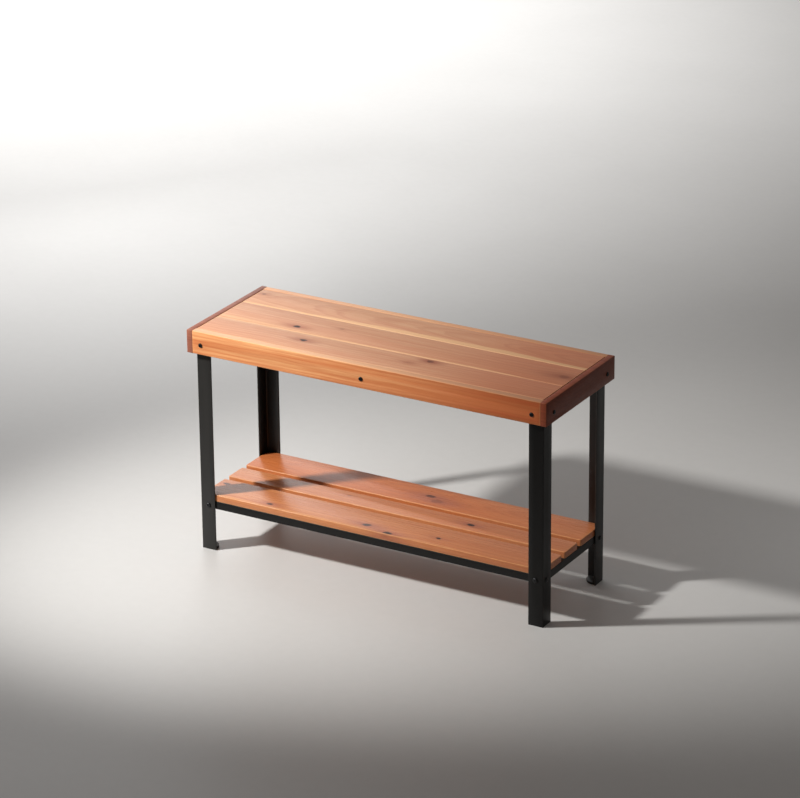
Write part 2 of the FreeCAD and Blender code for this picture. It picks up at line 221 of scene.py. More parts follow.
def slice_along(piece: Piece, axis: Axis, places: Iterable[float]) -> None:
    """Cut a mesh across an axis, keeping both sides, so that it has points to shape there.

    Args:
        piece: The mesh object.
        axis: The axis that the cuts cross.
        places: Where along the axis the cuts lie.
    """
    make_active(piece)
    enter(Mode.EDIT)
    for place in places:
        bpy.ops.mesh.select_all(action="SELECT")
        bpy.ops.mesh.bisect(plane_co=axis.value * place, plane_no=axis.value)
    enter(Mode.OBJECT)


def trim(piece: Piece, point: Vector, normal: Vector) -> None:
    """Cut away what lies beyond a plane and close the cut.

    Args:
        piece: The mesh object.
        point: A point on the plane.
        normal: Points to the side that is cut away.
    """
    make_active(piece)
    enter(Mode.EDIT)
    bpy.ops.mesh.select_all(action="SELECT")
    bpy.ops.mesh.bisect(plane_co=point, plane_no=normal, use_fill=True, clear_outer=True)
    enter(Mode.OBJECT)


class Cut(Enum):
    """What a cutter leaves of a piece."""

    OUTSIDE = "DIFFERENCE"
    INSIDE = "INTERSECT"


def carve(piece: Piece, cutter: Piece, cut: Cut = Cut.OUTSIDE) -> None:
    """Cut one solid with another and delete the cutter.

    Args:
        piece: The object that stays.
        cutter: The solid that cuts it.
        cut: Which part of the piece is left.
    """
    make_active(piece)
    modifier = piece.modifiers.new("carve", "BOOLEAN")
    modifier.operation = cut.value
    modifier.solver = "EXACT"
    modifier.object = cutter
    bpy.ops.object.modifier_apply(modifier=modifier.name)
    bpy.data.objects.remove(cutter)


def smooth(piece: Piece, degrees: float = 40) -> None:
    """Shade a piece smooth except across its sharp edges."""
    make_active(piece)
    bpy.ops.object.shade_smooth_by_angle(angle=math.radians(degrees))


def join(name: str, pieces: list[Piece]) -> Piece:
    """Join like pieces into one object.

    Args:
        name: Name of the joined piece.
        pieces: The objects to join.

    Returns:
        The joined object.
    """
    deselect_all()
    for piece in pieces:
        piece.select_set(True)
    bpy.context.view_layer.objects.active = pieces[0]
    bpy.ops.object.join()
    pieces[0].name = name
    return pieces[0]


def copy_of(model: Piece, place: Matrix) -> Piece:
    """Copy a modelled part, with its own mesh, to a place.

    Args:
        model: The part that is copied.
        place: Turns and moves the copy.

    Returns:
        The copy, at the origin with its place in its mesh.
    """
    twin = model.copy()
    twin.data = model.data.copy()
    twin.data.transform(place)
    bpy.context.scene.collection.objects.link(twin)
    return twin


def loose_parts(node: str) -> list[Span]:
    """The boxes of the separate solids in a node.

    Args:
        node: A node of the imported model.

    Returns:
        The lowest and highest corner of each solid.
    """
    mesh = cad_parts[node].data
    leader: dict[tuple[float, ...], tuple[float, ...]] = {}

    def find(key: tuple[float, ...]) -> tuple[float, ...]:
        """The first point of the solid that a point belongs to."""
        while leader.setdefault(key, key) != key:
            leader[key] = leader[leader[key]]
            key = leader[key]
        return key

    keys = [tuple(round(value, 6) for value in vertex.co) for vertex in mesh.vertices]
    for polygon in mesh.polygons:
        first = find(keys[polygon.vertices[0]])
        for index in polygon.vertices[1:]:
            leader[find(keys[index])] = first
    groups: dict[tuple[float, ...], list[tuple[float, ...]]] = {}
    for key in set(keys):
        groups.setdefault(find(key), []).append(key)
    boxes = [
        (Vector([min(values) for values in zip(*points)]), Vector([max(values) for values in zip(*points)]))
        for points in groups.values()
    ]
    return sorted(boxes, key=lambda box: tuple(round(value, 4) for value in box[0]))


def keep_piece(piece: Piece, slot: str, *nodes: str) -> Piece:
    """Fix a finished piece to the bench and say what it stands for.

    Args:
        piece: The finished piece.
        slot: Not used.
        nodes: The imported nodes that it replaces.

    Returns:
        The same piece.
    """
    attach(piece, ROOT)
    if nodes:
        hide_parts(*nodes)
    faces = len(piece.data.polygons)
    LOG.info("%s: %d faces, stands for %s", piece.name, faces, ", ".join(nodes) or "itself")
    return piece


# ---------------------------------------------------------------- shader helpers


class Desk:
    """Places and joins the nodes of one shader tree."""

    def __init__(self, tree: bpy.types.NodeTree) -> None:
        """Start on a tree."""
        self.tree = tree

    def feed(self, socket: Socket, value: object) -> None:
        """Link or set one input.

        Args:
            socket: The input.
            value: Another node's output, or the value to set.
        """
        if isinstance(value, Socket):
            self.tree.links.new(value, socket)
        elif isinstance(value, tuple) and socket.type == "RGBA":
            socket.default_value = (*value, 1.0)
        elif value is not None:
            socket.default_value = value

    def add(self, kind: str, inputs: dict[str | int, object], **settings: object) -> bpy.types.Node:
        """Place a node.

        Args:
            kind: The node's type without its ShaderNode prefix.
            inputs: Values or links for its inputs.
            **settings: Its own properties.

        Returns:
            The new node.
        """
        node = self.tree.nodes.new("ShaderNode" + kind)
        for key, value in settings.items():
            setattr(node, key, value)
        for key, value in inputs.items():
            self.feed(node.inputs[key], value)
        return node

    def math(self, operation: str, *values: object, clamp: bool = False) -> Socket:
        """A sum on numbers."""
        return self.add("Math", dict(enumerate(values)), operation=operation, use_clamp=clamp).outputs[0]

    def vector(self, operation: str, *values: object) -> Socket:
        """A sum on vectors."""
        return self.add("VectorMath", dict(enumerate(values)), operation=operation).outputs[0]

    def times(self, *values: object, clamp: bool = False) -> Socket:
        """The product of two numbers."""
        return self.math("MULTIPLY", *values, clamp=clamp)

    def plus(self, *values: object) -> Socket:
        """The sum of two numbers."""
        return self.math("ADD", *values)

    def minus(self, *values: object) -> Socket:
        """One number less another."""
        return self.math("SUBTRACT", *values)

    def over(self, *values: object) -> Socket:
        """One number divided by another."""
        return self.math("DIVIDE", *values)

    def stretch(self, *values: object) -> Socket:
        """A vector multiplied part by part."""
        return self.vector("MULTIPLY", *values)

    def shift(self, *values: object) -> Socket:
        """The sum of two vectors."""
        return self.vector("ADD", *values)

    def between(self, *values: object) -> Socket:
        """One vector less another."""
        return self.vector("SUBTRACT", *values)

    def scale(self, vector: object, factor: object) -> Socket:
        """A vector made longer or shorter."""
        return self.add("VectorMath", {0: vector, "Scale": factor}, operation="SCALE").outputs[0]

    def length(self, vector: object) -> Socket:
        """How long a vector is."""
        return self.add("VectorMath", {0: vector}, operation="LENGTH").outputs["Value"]

    def grain(self, here: object, scale: tuple, detail: float, roughness: float = 0.5) -> Socket:
        """A noise value with so many features to a metre along X, Y and Z."""
        return self.noise(self.stretch(here, scale), detail, roughness).outputs[0]

    def split(self, vector: object) -> list[Socket]:
        """The three parts of a vector."""
        return list(self.add("SeparateXYZ", {0: vector}).outputs)

    def bundle(self, x: object, y: object, z: object) -> Socket:
        """A vector of three numbers."""
        return self.add("CombineXYZ", {0: x, 1: y, 2: z}).outputs[0]

    def smooth(self, value: object, start: object, end: object) -> Socket:
        """A soft step."""
        inputs = {"Value": value, "From Min": start, "From Max": end}
        return self.add("MapRange", inputs, interpolation_type="SMOOTHSTEP").outputs[0]

    def spread(self, value: object, low: float, high: float) -> Socket:
        """Carry a number from 0 to 1 over to a range of its own."""
        return self.add("MapRange", {"Value": value, "To Min": low, "To Max": high}).outputs[0]

    def noise(self, vector: object, detail: float, roughness: float = 0.5) -> bpy.types.Node:
        """A noise pattern, one unit of the vector to a feature."""
        inputs = {"Vector": vector, "Scale": 1.0, "Detail": detail, "Roughness": roughness}
        return self.add("TexNoise", inputs)

    def tint(self, factor: object, below: object, above: object, blend: str = "MIX") -> Socket:
        """Mix two colours."""
        inputs = {0: factor, 6: below, 7: above}
        return self.add("Mix", inputs, data_type="RGBA", blend_type=blend).outputs[2]

    def bump(self, height: object, strength: float, distance: float) -> Socket:
        """Turn a height into a surface direction."""
        inputs = {"Height": height, "Strength": strength, "Distance": distance}
        return self.add("Bump", inputs).outputs["Normal"]


class Kind(Enum):
    """The kinds of socket that a shared effect has."""

    NUMBER = "NodeSocketFloat"
    VECTOR = "NodeSocketVector"


class Effect:
    """A shader node group that several finishes share. It puts out masks, heights and tones only."""

    name = ""
    takes: dict[str, Kind] = {}
    gives: dict[str, Kind] = {}

    def group(self) -> bpy.types.NodeTree:
        """The node group, made at its first use."""
        made = bpy.data.node_groups.get(self.name)
        if made is not None:
            return made
        tree = bpy.data.node_groups.new(self.name, "ShaderNodeTree")
        for label, kind in self.takes.items():
            tree.interface.new_socket(name=label, in_out="INPUT", socket_type=kind.value)
        for label, kind in self.gives.items():
            tree.interface.new_socket(name=label, in_out="OUTPUT", socket_type=kind.value)
        desk = Desk(tree)
        entry = tree.nodes.new("NodeGroupInput").outputs
        results = self.draw(desk, entry)
        leave = tree.nodes.new("NodeGroupOutput")
        for label, result in results.items():
            desk.feed(leave.inputs[label], result)
        return tree

    def draw(self, desk: Desk, entry: Outputs) -> dict[str, Socket]:
        """Lay out the group's nodes."""
        raise NotImplementedError

    def place(self, desk: Desk, **inputs: object) -> Outputs:
        """Put the effect in a material.

        Args:
            desk: The material's nodes.
            **inputs: Values for the group's inputs, spaces written as underscores.

        Returns:
            The group's outputs.
        """
        node = desk.tree.nodes.new("ShaderNodeGroup")
        node.node_tree = self.group()
        for label, value in inputs.items():
            desk.feed(node.inputs[label.replace("_", " ")], value)
        return node.outputs


class TimberFigure(Effect):
    """Growth rings about a leaning pith, with fibres that run along X."""

    name = "timber_figure"
    takes = {
        "Vector": Kind.VECTOR,
        "Seed": Kind.VECTOR,
        "Pith": Kind.VECTOR,
        "Lean": Kind.VECTOR,
        "Ring width": Kind.NUMBER,
        "Wander": Kind.NUMBER,
        "Lift": Kind.NUMBER,
        "Streaks": Kind.NUMBER,
    }
    gives = {"Rings": Kind.NUMBER, "Fibre": Kind.NUMBER, "Mottle": Kind.NUMBER, "Height": Kind.NUMBER}

    def draw(self, desk: Desk, entry: Outputs) -> dict[str, Socket]:
        """Lay out the rings, fibres and mottling. See Effect.draw."""
        here = desk.shift(entry["Vector"], entry["Seed"])
        broad = desk.noise(desk.stretch(here, (2.6, 11.0, 11.0)), 2.0).outputs["Color"]
        close = desk.noise(desk.stretch(here, (16.0, 95.0, 95.0)), 2.0).outputs["Color"]
        sway = desk.between(broad, MIDDLE)
        sway = desk.scale(sway, entry["Wander"])
        shiver = desk.stretch(desk.between(close, MIDDLE), (0.0, 0.0022, 0.0022))
        along = desk.split(entry["Vector"])[0]
        lean = desk.scale(entry["Lean"], along)
        pith = desk.shift(entry["Pith"], lean)
        away = desk.between(entry["Vector"], pith)
        away = desk.shift(desk.shift(away, sway), shiver)
        away = desk.stretch(away, (0.0, 1.0, 1.0))
        reach = desk.length(away)
        reach = desk.plus(reach, entry["Lift"])
        count = desk.over(reach, entry["Ring width"])
        uneven = desk.noise(desk.bundle(desk.times(count, 0.55), 0.0, 0.0), 2.0).outputs[0]
        count = desk.math("MULTIPLY_ADD", uneven, 2.8, count)
        phase = desk.math("FRACT", count)
        grow = desk.smooth(phase, 0.30, 0.86)
        stop = desk.smooth(phase, 0.88, 1.0)
        strength = desk.noise(desk.bundle(desk.math("FLOOR", count), 0.0, 0.0), 0.0).outputs[0]
        rings = desk.times(grow, desk.minus(1.0, stop))
        rings = desk.times(rings, desk.spread(strength, 0.2, 1.6), clamp=True)
        thread = desk.grain(here, (20.0, 420.0, 420.0), 3.0, 0.62)
        pores = desk.grain(here, (55.0, 2300.0, 2300.0), 2.0, 0.6)
        fibre = desk.plus(desk.times(thread, 0.65), desk.times(pores, 0.35))
        bend = desk.times(entry["Lift"], 1.5)
        bent = desk.shift(here, desk.shift(shiver, desk.bundle(0.0, bend, 0.0)))
        stretch = desk.bundle(2.6, entry["Streaks"], entry["Streaks"])
        streak = desk.noise(desk.stretch(bent, stretch), 3.0, 0.6).outputs[0]
        cloud = desk.grain(here, (1.7, 15.0, 15.0), 2.0, 0.5)
        mottle = desk.plus(desk.times(streak, 0.62), desk.times(cloud, 0.38))
        height = desk.minus(desk.times(pores, 0.8), desk.times(rings, 0.35))
        return {
            "Rings": rings,
            "Fibre": desk.smooth(fibre, 0.32, 0.68),
            "Mottle": desk.smooth(mottle, 0.36, 0.64),
            "Height": height,
        }


class KnotMark(Effect):
    """A knot seen on a board's face: a dark core, a warm halo, and rings that part around it."""

    name = "timber_knot"
    takes = {"Vector": Kind.VECTOR, "Centre": Kind.VECTOR, "Size": Kind.NUMBER, "Stretch": Kind.NUMBER}
    gives = {"Core": Kind.NUMBER, "Halo": Kind.NUMBER, "Lift": Kind.NUMBER}

    def draw(self, desk: Desk, entry: Outputs) -> dict[str, Socket]:
        """Lay out the knot's masks. See Effect.draw."""
        offset = desk.between(entry["Vector"], entry["Centre"])
        wobble = desk.noise(desk.stretch(entry["Vector"], (75.0, 190.0, 190.0)), 3.0).outputs["Color"]
        wobble = desk.stretch(desk.between(wobble, MIDDLE), (0.012, 0.005, 0.0))
        along, across, under = desk.split(desk.shift(offset, wobble))
        along = desk.over(along, entry["Stretch"])
        spot = desk.bundle(along, across, desk.times(under, 0.6))
        far = desk.length(spot)
        share = desk.over(far, entry["Size"])
        core = desk.minus(1.0, desk.smooth(share, 0.55, 1.15))
        streak = desk.over(desk.math("ABSOLUTE", across), desk.times(entry["Size"], 1.8))
        reach = desk.over(desk.math("ABSOLUTE", along), desk.times(entry["Size"], 3.8))
        squares = desk.plus(desk.math("POWER", streak, 2.0), desk.math("POWER", reach, 2.0))
        halo = desk.math("EXPONENT", desk.times(squares, -1.0))
        wide = desk.math("POWER", desk.over(share, 3.4), 2.0)
        lift = desk.math("EXPONENT", desk.times(wide, -1.0))
        return {"Core": core, "Halo": halo, "Lift": desk.times(lift, entry["Size"])}


class SapBand(Effect):
    """A strip of pale sapwood that follows a board's edge and changes width along it."""

    name = "sapwood_band"
    takes = {
        "Vector": Kind.VECTOR,
        "Edge": Kind.NUMBER,
        "Side": Kind.NUMBER,
        "Left": Kind.NUMBER,
        "Middle": Kind.NUMBER,
        "Right": Kind.NUMBER,
        "Inset": Kind.NUMBER,
        "Softness": Kind.NUMBER,
    }
    gives = {"Mask": Kind.NUMBER}

    def draw(self, desk: Desk, entry: Outputs) -> dict[str, Socket]:
        """Lay out the strip. See Effect.draw."""
        along, across, _ = desk.split(entry["Vector"])
        inward = desk.times(desk.minus(across, entry["Edge"]), entry["Side"])
        first = desk.smooth(along, -0.38, 0.12)
        last = desk.smooth(along, 0.12, 0.39)
        width = desk.math(
            "MULTIPLY_ADD", first, desk.minus(entry["Middle"], entry["Left"]), entry["Left"]
        )
        width = desk.math("MULTIPLY_ADD", last, desk.minus(entry["Right"], entry["Middle"]), width)
        ripple = desk.noise(desk.bundle(desk.times(along, 7.0), entry["Edge"], 0.0), 3.0).outputs[0]
        width = desk.times(width, desk.spread(ripple, 0.55, 1.45))
        fray = desk.grain(entry["Vector"], (14.0, 520.0, 520.0), 3.0)
        inward = desk.plus(inward, desk.math("MULTIPLY_ADD", fray, 0.004, -0.002))
        outer = desk.smooth(inward, width, desk.plus(width, entry["Softness"]))
        start = desk.smooth(inward, desk.minus(entry["Inset"], 0.001), entry["Inset"])
        mask = desk.times(desk.minus(1.0, outer), start)
        present = desk.smooth(width, 0.0004, 0.002)
        return {"Mask": desk.times(mask, present, clamp=True)}


class EdgeWear(Effect):
    """Where the edges of a piece's box are rubbed, broken up by noise."""

    name = "edge_wear"
    takes = {"Vector": Kind.VECTOR, "Centre": Kind.VECTOR, "Half": Kind.VECTOR, "Reach": Kind.NUMBER}
    gives = {"Mask": Kind.NUMBER}

    def draw(self, desk: Desk, entry: Outputs) -> dict[str, Socket]:
        """Lay out the mask. See Effect.draw."""
        offset = desk.vector("ABSOLUTE", desk.between(entry["Vector"], entry["Centre"]))
        x, y, z = desk.split(desk.between(entry["Half"], offset))
        low = desk.math("MINIMUM", x, y)
        high = desk.math("MAXIMUM", x, y)
        second = desk.math("MAXIMUM", low, desk.math("MINIMUM", high, z))
        break_up = desk.grain(entry["Vector"], (60.0, 60.0, 60.0), 3.0)
        reach = desk.times(entry["Reach"], desk.spread(break_up, 0.0, 2.0))
        return {"Mask": desk.minus(1.0, desk.smooth(second, 0.0, reach))}


class Dust(Effect):
    """A thin broken film on faces that look up."""

    name = "settled_dust"
    takes = {"Vector": Kind.VECTOR}
    gives = {"Mask": Kind.NUMBER}

    def draw(self, desk: Desk, entry: Outputs) -> dict[str, Socket]:
        """Lay out the film. See Effect.draw."""
        up = desk.split(desk.add("NewGeometry", {}).outputs["Normal"])[2]
        patch = desk.grain(entry["Vector"], (26.0, 26.0, 26.0), 5.0, 0.65)
        film = desk.times(desk.smooth(up, 0.6, 0.98), desk.smooth(patch, 0.35, 0.75))
        return {"Mask": film}


FIGURE = TimberFigure()
KNOT = KnotMark()
BAND = SapBand()
WEAR = EdgeWear()
DUST = Dust()
# How far rubbing reaches in from a wooden edge; on boards it also paints highlights.
WOOD_RUB_AND_HIGHLIGHT_REACH = 2.6 * MM
STEEL_RUB = 1.1 * MM


# ---------------------------------------------------------------- finishes


def new_material(name: str) -> tuple[Desk, bpy.types.Node]:
    """Start a material.

    Args:
        name: The material's name.

    Returns:
        Its nodes and its Principled BSDF.
    """
    material = bpy.data.materials.new(name)
    material.use_nodes = True
    desk = Desk(material.node_tree)
    return desk, material.node_tree.nodes["Principled BSDF"]


def place_of(desk: Desk) -> Socket:
    """The place of a point on a piece, in metres, in the shared frame."""
    return desk.add("TexCoord", {}).outputs["Object"]


def rubbed_edges(desk: Desk, here: object, box: Span, reach: float) -> Socket:
    """Mask the rubbed edges of a piece.

    Args:
        desk: The material's nodes.
        here: The place of the point.
        box: Lowest and highest corner of the piece.
        reach: How far the rubbing goes in from an edge.

    Returns:
        The mask.
    """
    centre = tuple((box[0] + box[1]) / 2)
    half = tuple((box[1] - box[0]) / 2)
    return WEAR.place(desk, Vector=here, Centre=centre, Half=half, Reach=reach)["Mask"]


@dataclass(frozen=True)
class Knot:
    """A knot on a board's broad face."""

    x: float
    y: float
    size: float
    depth: float = 0.85
    stretch: float = 1.7
    warmth: float = 0.6


@dataclass(frozen=True)
class Sapwood:
    """A strip of sapwood along an edge of a board."""

    edge: float
    side: int
    left: float
    middle: float
    right: float
    inset: float = -0.01
    softness: float = 0.003
    strength: float = 0.8


@dataclass(frozen=True)
class Tones:
    """The colours of one kind of board."""

    pale: Colour
    deep: Colour
    late: Colour
    sap: Colour
    halo: Colour = (0.33, 0.105, 0.058)
    core: Colour = (0.030, 0.010, 0.006)
    # Painted shade: the darker, redder tone that a board's right end is tinted towards.
    painted_shade_tone: Colour = (0.66, 0.200, 0.100)
    # Painted light: the tone of a painted sheen, and on the rear slat of a painted reflection.
    painted_light_tone: Colour = (0.68, 0.41, 0.250)


@dataclass(frozen=True)
class Timber:
    """An oiled board, cut from a log whose pith lies at a given place."""

    name: str
    tones: Tones
    pith: tuple[float, float]
    lean: tuple[float, float] = (0.0, 0.0)
    ring_width: float = 0.005
    wander: float = 0.02
    ring_strength: float = 0.27
    fibre_strength: float = 0.22
    mottle: float = 0.6
    streaks: float = 80.0
    # Painted shade: how far the right end is tinted darker and redder.
    right_end_painted_shade: float = 0.0
    # Painted light: how far the left end is tinted towards the painted light tone.
    left_end_painted_light: float = 0.0
    # Strength of the rubbed edges, which are real wear and also painted highlights.
    rubbed: float = 0.3
    seed: float = 0.0
    knots: tuple[Knot, ...] = ()
    sapwood: tuple[Sapwood, ...] = ()
    roughness: tuple[float, float] = (0.36, 0.5)
    relief: float = 0.2
    gloss: float = 0.20
    # Painted light: how far the top faces are tinted paler.
    painted_top_light: float = 0.0

    def make(self, box: Span) -> bpy.types.Material:
        """Build the material for a board.

        Args:
            box: Lowest and highest corner of the board.

        Returns:
            The material.
        """
        desk, surface = new_material(self.name)
        here = place_of(desk)
        marks = [self.knot_marks(desk, here, knot, box) for knot in self.knots]
        lift = 0.0
        for mark in marks:
            lift = desk.plus(mark["Lift"], lift)
        figure = FIGURE.place(
            desk,
            Vector=here,
            Seed=(self.seed * 1.37, self.seed * 0.71, self.seed * 0.43),
            Pith=(0.0, *self.pith),
            Lean=(0.0, *self.lean),
            Ring_width=self.ring_width,
            Wander=self.wander,
            Lift=lift,
            Streaks=self.streaks,
        )
        colour = self.body_colour(desk, here, figure)
        for strip in self.sapwood:
            mask = BAND.place(
                desk,
                Vector=here,
                Edge=strip.edge,
                Side=float(strip.side),
                Left=strip.left,
                Middle=strip.middle,
                Right=strip.right,
                Inset=strip.inset,
                Softness=strip.softness,
            )["Mask"]
            pale = desk.tint(desk.times(figure["Fibre"], 0.25), self.tones.sap, self.tones.pale)
            colour = desk.tint(desk.times(mask, strip.strength), colour, pale)
        for knot, mark in zip(self.knots, marks):
            colour = desk.tint(desk.times(mark["Halo"], knot.warmth), colour, self.tones.halo)
            colour = desk.tint(desk.times(mark["Core"], knot.depth), colour, self.tones.core)
        colour, worn = self.aged_and_highlit_colour(desk, here, colour, box)
        desk.feed(surface.inputs["Base Color"], colour)
        gloss = desk.spread(figure["Fibre"], *self.roughness)
        gloss = desk.plus(gloss, desk.times(worn, 0.08))
        desk.feed(surface.inputs["Roughness"], gloss)
        desk.feed(surface.inputs["Specular IOR Level"], self.gloss)
        desk.feed(surface.inputs["Normal"], desk.bump(figure["Height"], self.relief, 0.25 * MM))
        return bpy.data.materials[self.name]

    def knot_marks(self, desk: Desk, here: object, knot: Knot, box: Span) -> Outputs:
        """Place one knot."""
        centre = (knot.x, knot.y, box[1].z)
        return KNOT.place(desk, Vector=here, Centre=centre, Size=knot.size, Stretch=knot.stretch)

    def body_colour(
        self, desk: Desk, here: object, figure: Outputs
    ) -> Socket:
        """Colour the heartwood, with painted shade towards its right end and painted light at its left end.

        Args:
            desk: The material's nodes.
            here: The place of the point.
            figure: The rings, fibres and mottling.

        Returns:
            The colour before sapwood and knots.
        """
        colour = self.tones.pale
        # Painted shade: the board darkens and reddens towards its right end.
        if self.right_end_painted_shade:
            along = desk.smooth(desk.split(here)[0], -0.05, 0.33)
            colour = desk.tint(desk.times(along, self.right_end_painted_shade), colour, self.tones.painted_shade_tone)
        # Painted light: the left end takes a painted sheen on the seat and aprons, and a painted reflection
        # of the dark rear left leg on the rear slat.
        if self.left_end_painted_light:
            along = desk.smooth(desk.split(here)[0], 0.30, 0.02)
            colour = desk.tint(desk.times(along, self.left_end_painted_light), colour, self.tones.painted_light_tone)
        mottle = desk.times(figure["Mottle"], self.mottle)
        colour = desk.tint(mottle, colour, self.tones.deep)
        rings = desk.times(figure["Rings"], self.ring_strength)
        colour = desk.tint(rings, colour, self.tones.late)
        fibre = desk.times(figure["Fibre"], self.fibre_strength)
        return desk.tint(fibre, colour, self.tones.late)

    def aged_and_highlit_colour(
        self, desk: Desk, here: object, colour: Socket, box: Span
    ) -> tuple[Socket, Socket]:
        """Darken the end grain, paint light on the top faces, and lighten the rubbed edges, which also paints
        highlights along them.

        Args:
            desk: The material's nodes.
            here: The place of the point.
            colour: The colour so far.
            box: Lowest and highest corner of the board.

        Returns:
            The colour, and the mask of rubbed edges, which also carries painted highlights.
        """
        facing, _, up = desk.split(desk.add("NewGeometry", {}).outputs["Normal"])
        end = desk.smooth(desk.math("ABSOLUTE", facing), 0.7, 0.98)
        colour = desk.tint(desk.times(end, 0.35), colour, self.tones.late)
        # Painted light: top faces are tinted paler, as if lit from above.
        if self.painted_top_light:
            top = desk.times(desk.smooth(up, 0.35, 0.9), self.painted_top_light)
            colour = desk.tint(top, colour, SEAT_TONES.painted_light_tone)
        # The rubbed edges are partly real wear and partly painted highlights along the arrises.
        worn = rubbed_edges(desk, here, box, WOOD_RUB_AND_HIGHLIGHT_REACH)
        worn = desk.times(worn, self.rubbed)
        return desk.tint(worn, colour, self.tones.sap), worn


@dataclass(frozen=True)
class PaintedSteel:
    """Satin black paint over hot rolled angle, with a faint orange peel and rubbed edges."""

    name: str
    paint: Colour = (0.0062, 0.0058, 0.0052)
    rubbed: Colour = (0.030, 0.028, 0.025)
    roughness: tuple[float, float] = (0.36, 0.5)
    gloss: float = 0.42
    thinning: float = 1.7
    dust: Colour = (0.30, 0.28, 0.25)

    def thin_paint(self) -> Colour:
        """The paint where its coat is thin."""
        return tuple(self.thinning * part for part in self.paint)

    def make(self, box: Span) -> bpy.types.Material:
        """Build the material for a steel piece.

        Args:
            box: Lowest and highest corner of the piece.

        Returns:
            The material.
        """
        desk, surface = new_material(self.name)
        here = place_of(desk)
        cloud = desk.grain(here, (34.0, 34.0, 9.0), 4.0, 0.6)
        peel = desk.grain(here, (900.0, 900.0, 900.0), 2.0, 0.5)
        scale = desk.grain(here, (150.0, 150.0, 60.0), 3.0, 0.6)
        worn = rubbed_edges(desk, here, box, STEEL_RUB)
        film = DUST.place(desk, Vector=here)["Mask"]
        colour = desk.tint(desk.times(cloud, 0.5), self.paint, self.thin_paint())
        colour = desk.tint(desk.times(worn, 0.55), colour, self.rubbed)
        colour = desk.tint(desk.times(film, 0.12), colour, self.dust)
        desk.feed(surface.inputs["Base Color"], colour)
        desk.feed(surface.inputs["Specular IOR Level"], self.gloss)
        gloss = desk.plus(desk.spread(cloud, *self.roughness), desk.times(film, 0.15))
        desk.feed(surface.inputs["Roughness"], gloss)
        height = desk.plus(desk.times(peel, 0.6), desk.times(scale, 0.4))
        desk.feed(surface.inputs["Normal"], desk.bump(height, 0.16, 0.2 * MM))
        return bpy.data.materials[self.name]


@dataclass(frozen=True)
class FastenerMetal:
    """The metal of bolts, screws and nuts, with a turned grain and small bright rubs."""

    name: str
    body: Colour
    bright: Colour
    metallic: float
    roughness: tuple[float, float]

    def make(self) -> bpy.types.Material:
        """Build the material."""
        desk, surface = new_material(self.name)
        here = place_of(desk)
        cloud = desk.grain(here, (420.0, 420.0, 420.0), 4.0, 0.6)
        fine = desk.grain(here, (2600.0, 2600.0, 2600.0), 2.0, 0.5)
        colour = desk.tint(desk.smooth(cloud, 0.35, 0.75), self.body, self.bright)
        desk.feed(surface.inputs["Base Color"], colour)
        desk.feed(surface.inputs["Metallic"], self.metallic)
        desk.feed(surface.inputs["Roughness"], desk.spread(cloud, *self.roughness))
        desk.feed(surface.inputs["Normal"], desk.bump(fine, 0.12, 0.05 * MM))
        return bpy.data.materials[self.name]


def dress(piece: Piece, material: bpy.types.Material) -> None:
    """Give a piece one finish all over."""
    piece.data.materials.clear()
    piece.data.materials.append(material)


# ---------------------------------------------------------------- drilled boards and steel


def add_rod(
    name: str, centre: Vector, axis: Vector, radius: float, length: float, sides: int = 32
) -> Piece:
    """Add a round or many-sided bar.

    Args:
        name: The piece's name.
        centre: Its middle.
        axis: The direction that it runs in.
        radius: Its radius, to the corners.
        length: Its length.
        sides: How many sides it has.

    Returns:
        The new object, settled at the origin.
    """
    deselect_all()
    turn = axis.to_track_quat("Z", "Y").to_euler()
    bpy.ops.mesh.primitive_cylinder_add(
        vertices=sides, radius=radius, depth=length, location=centre, rotation=turn
    )
    piece = bpy.context.object
    piece.name = name
    return settle(piece)


def drill(piece: Piece, mouth: Vector, into: Vector, radius: float, depth: float) -> None:
    """Drill a hole.

    Args:
        piece: The piece that is drilled.
        mouth: Middle of the hole's mouth.
        into: The direction that the drill goes in.
        radius: Radius of the hole.
        depth: Depth of the hole.
    """
    clear = 1.0 * MM
    middle = mouth + into * ((depth - clear) / 2)
    carve(piece, add_rod("drill", middle, into, radius, depth + clear))


def middle_of(box: Span) -> Vector:
    """The middle of a box."""
    return (box[0] + box[1]) / 2


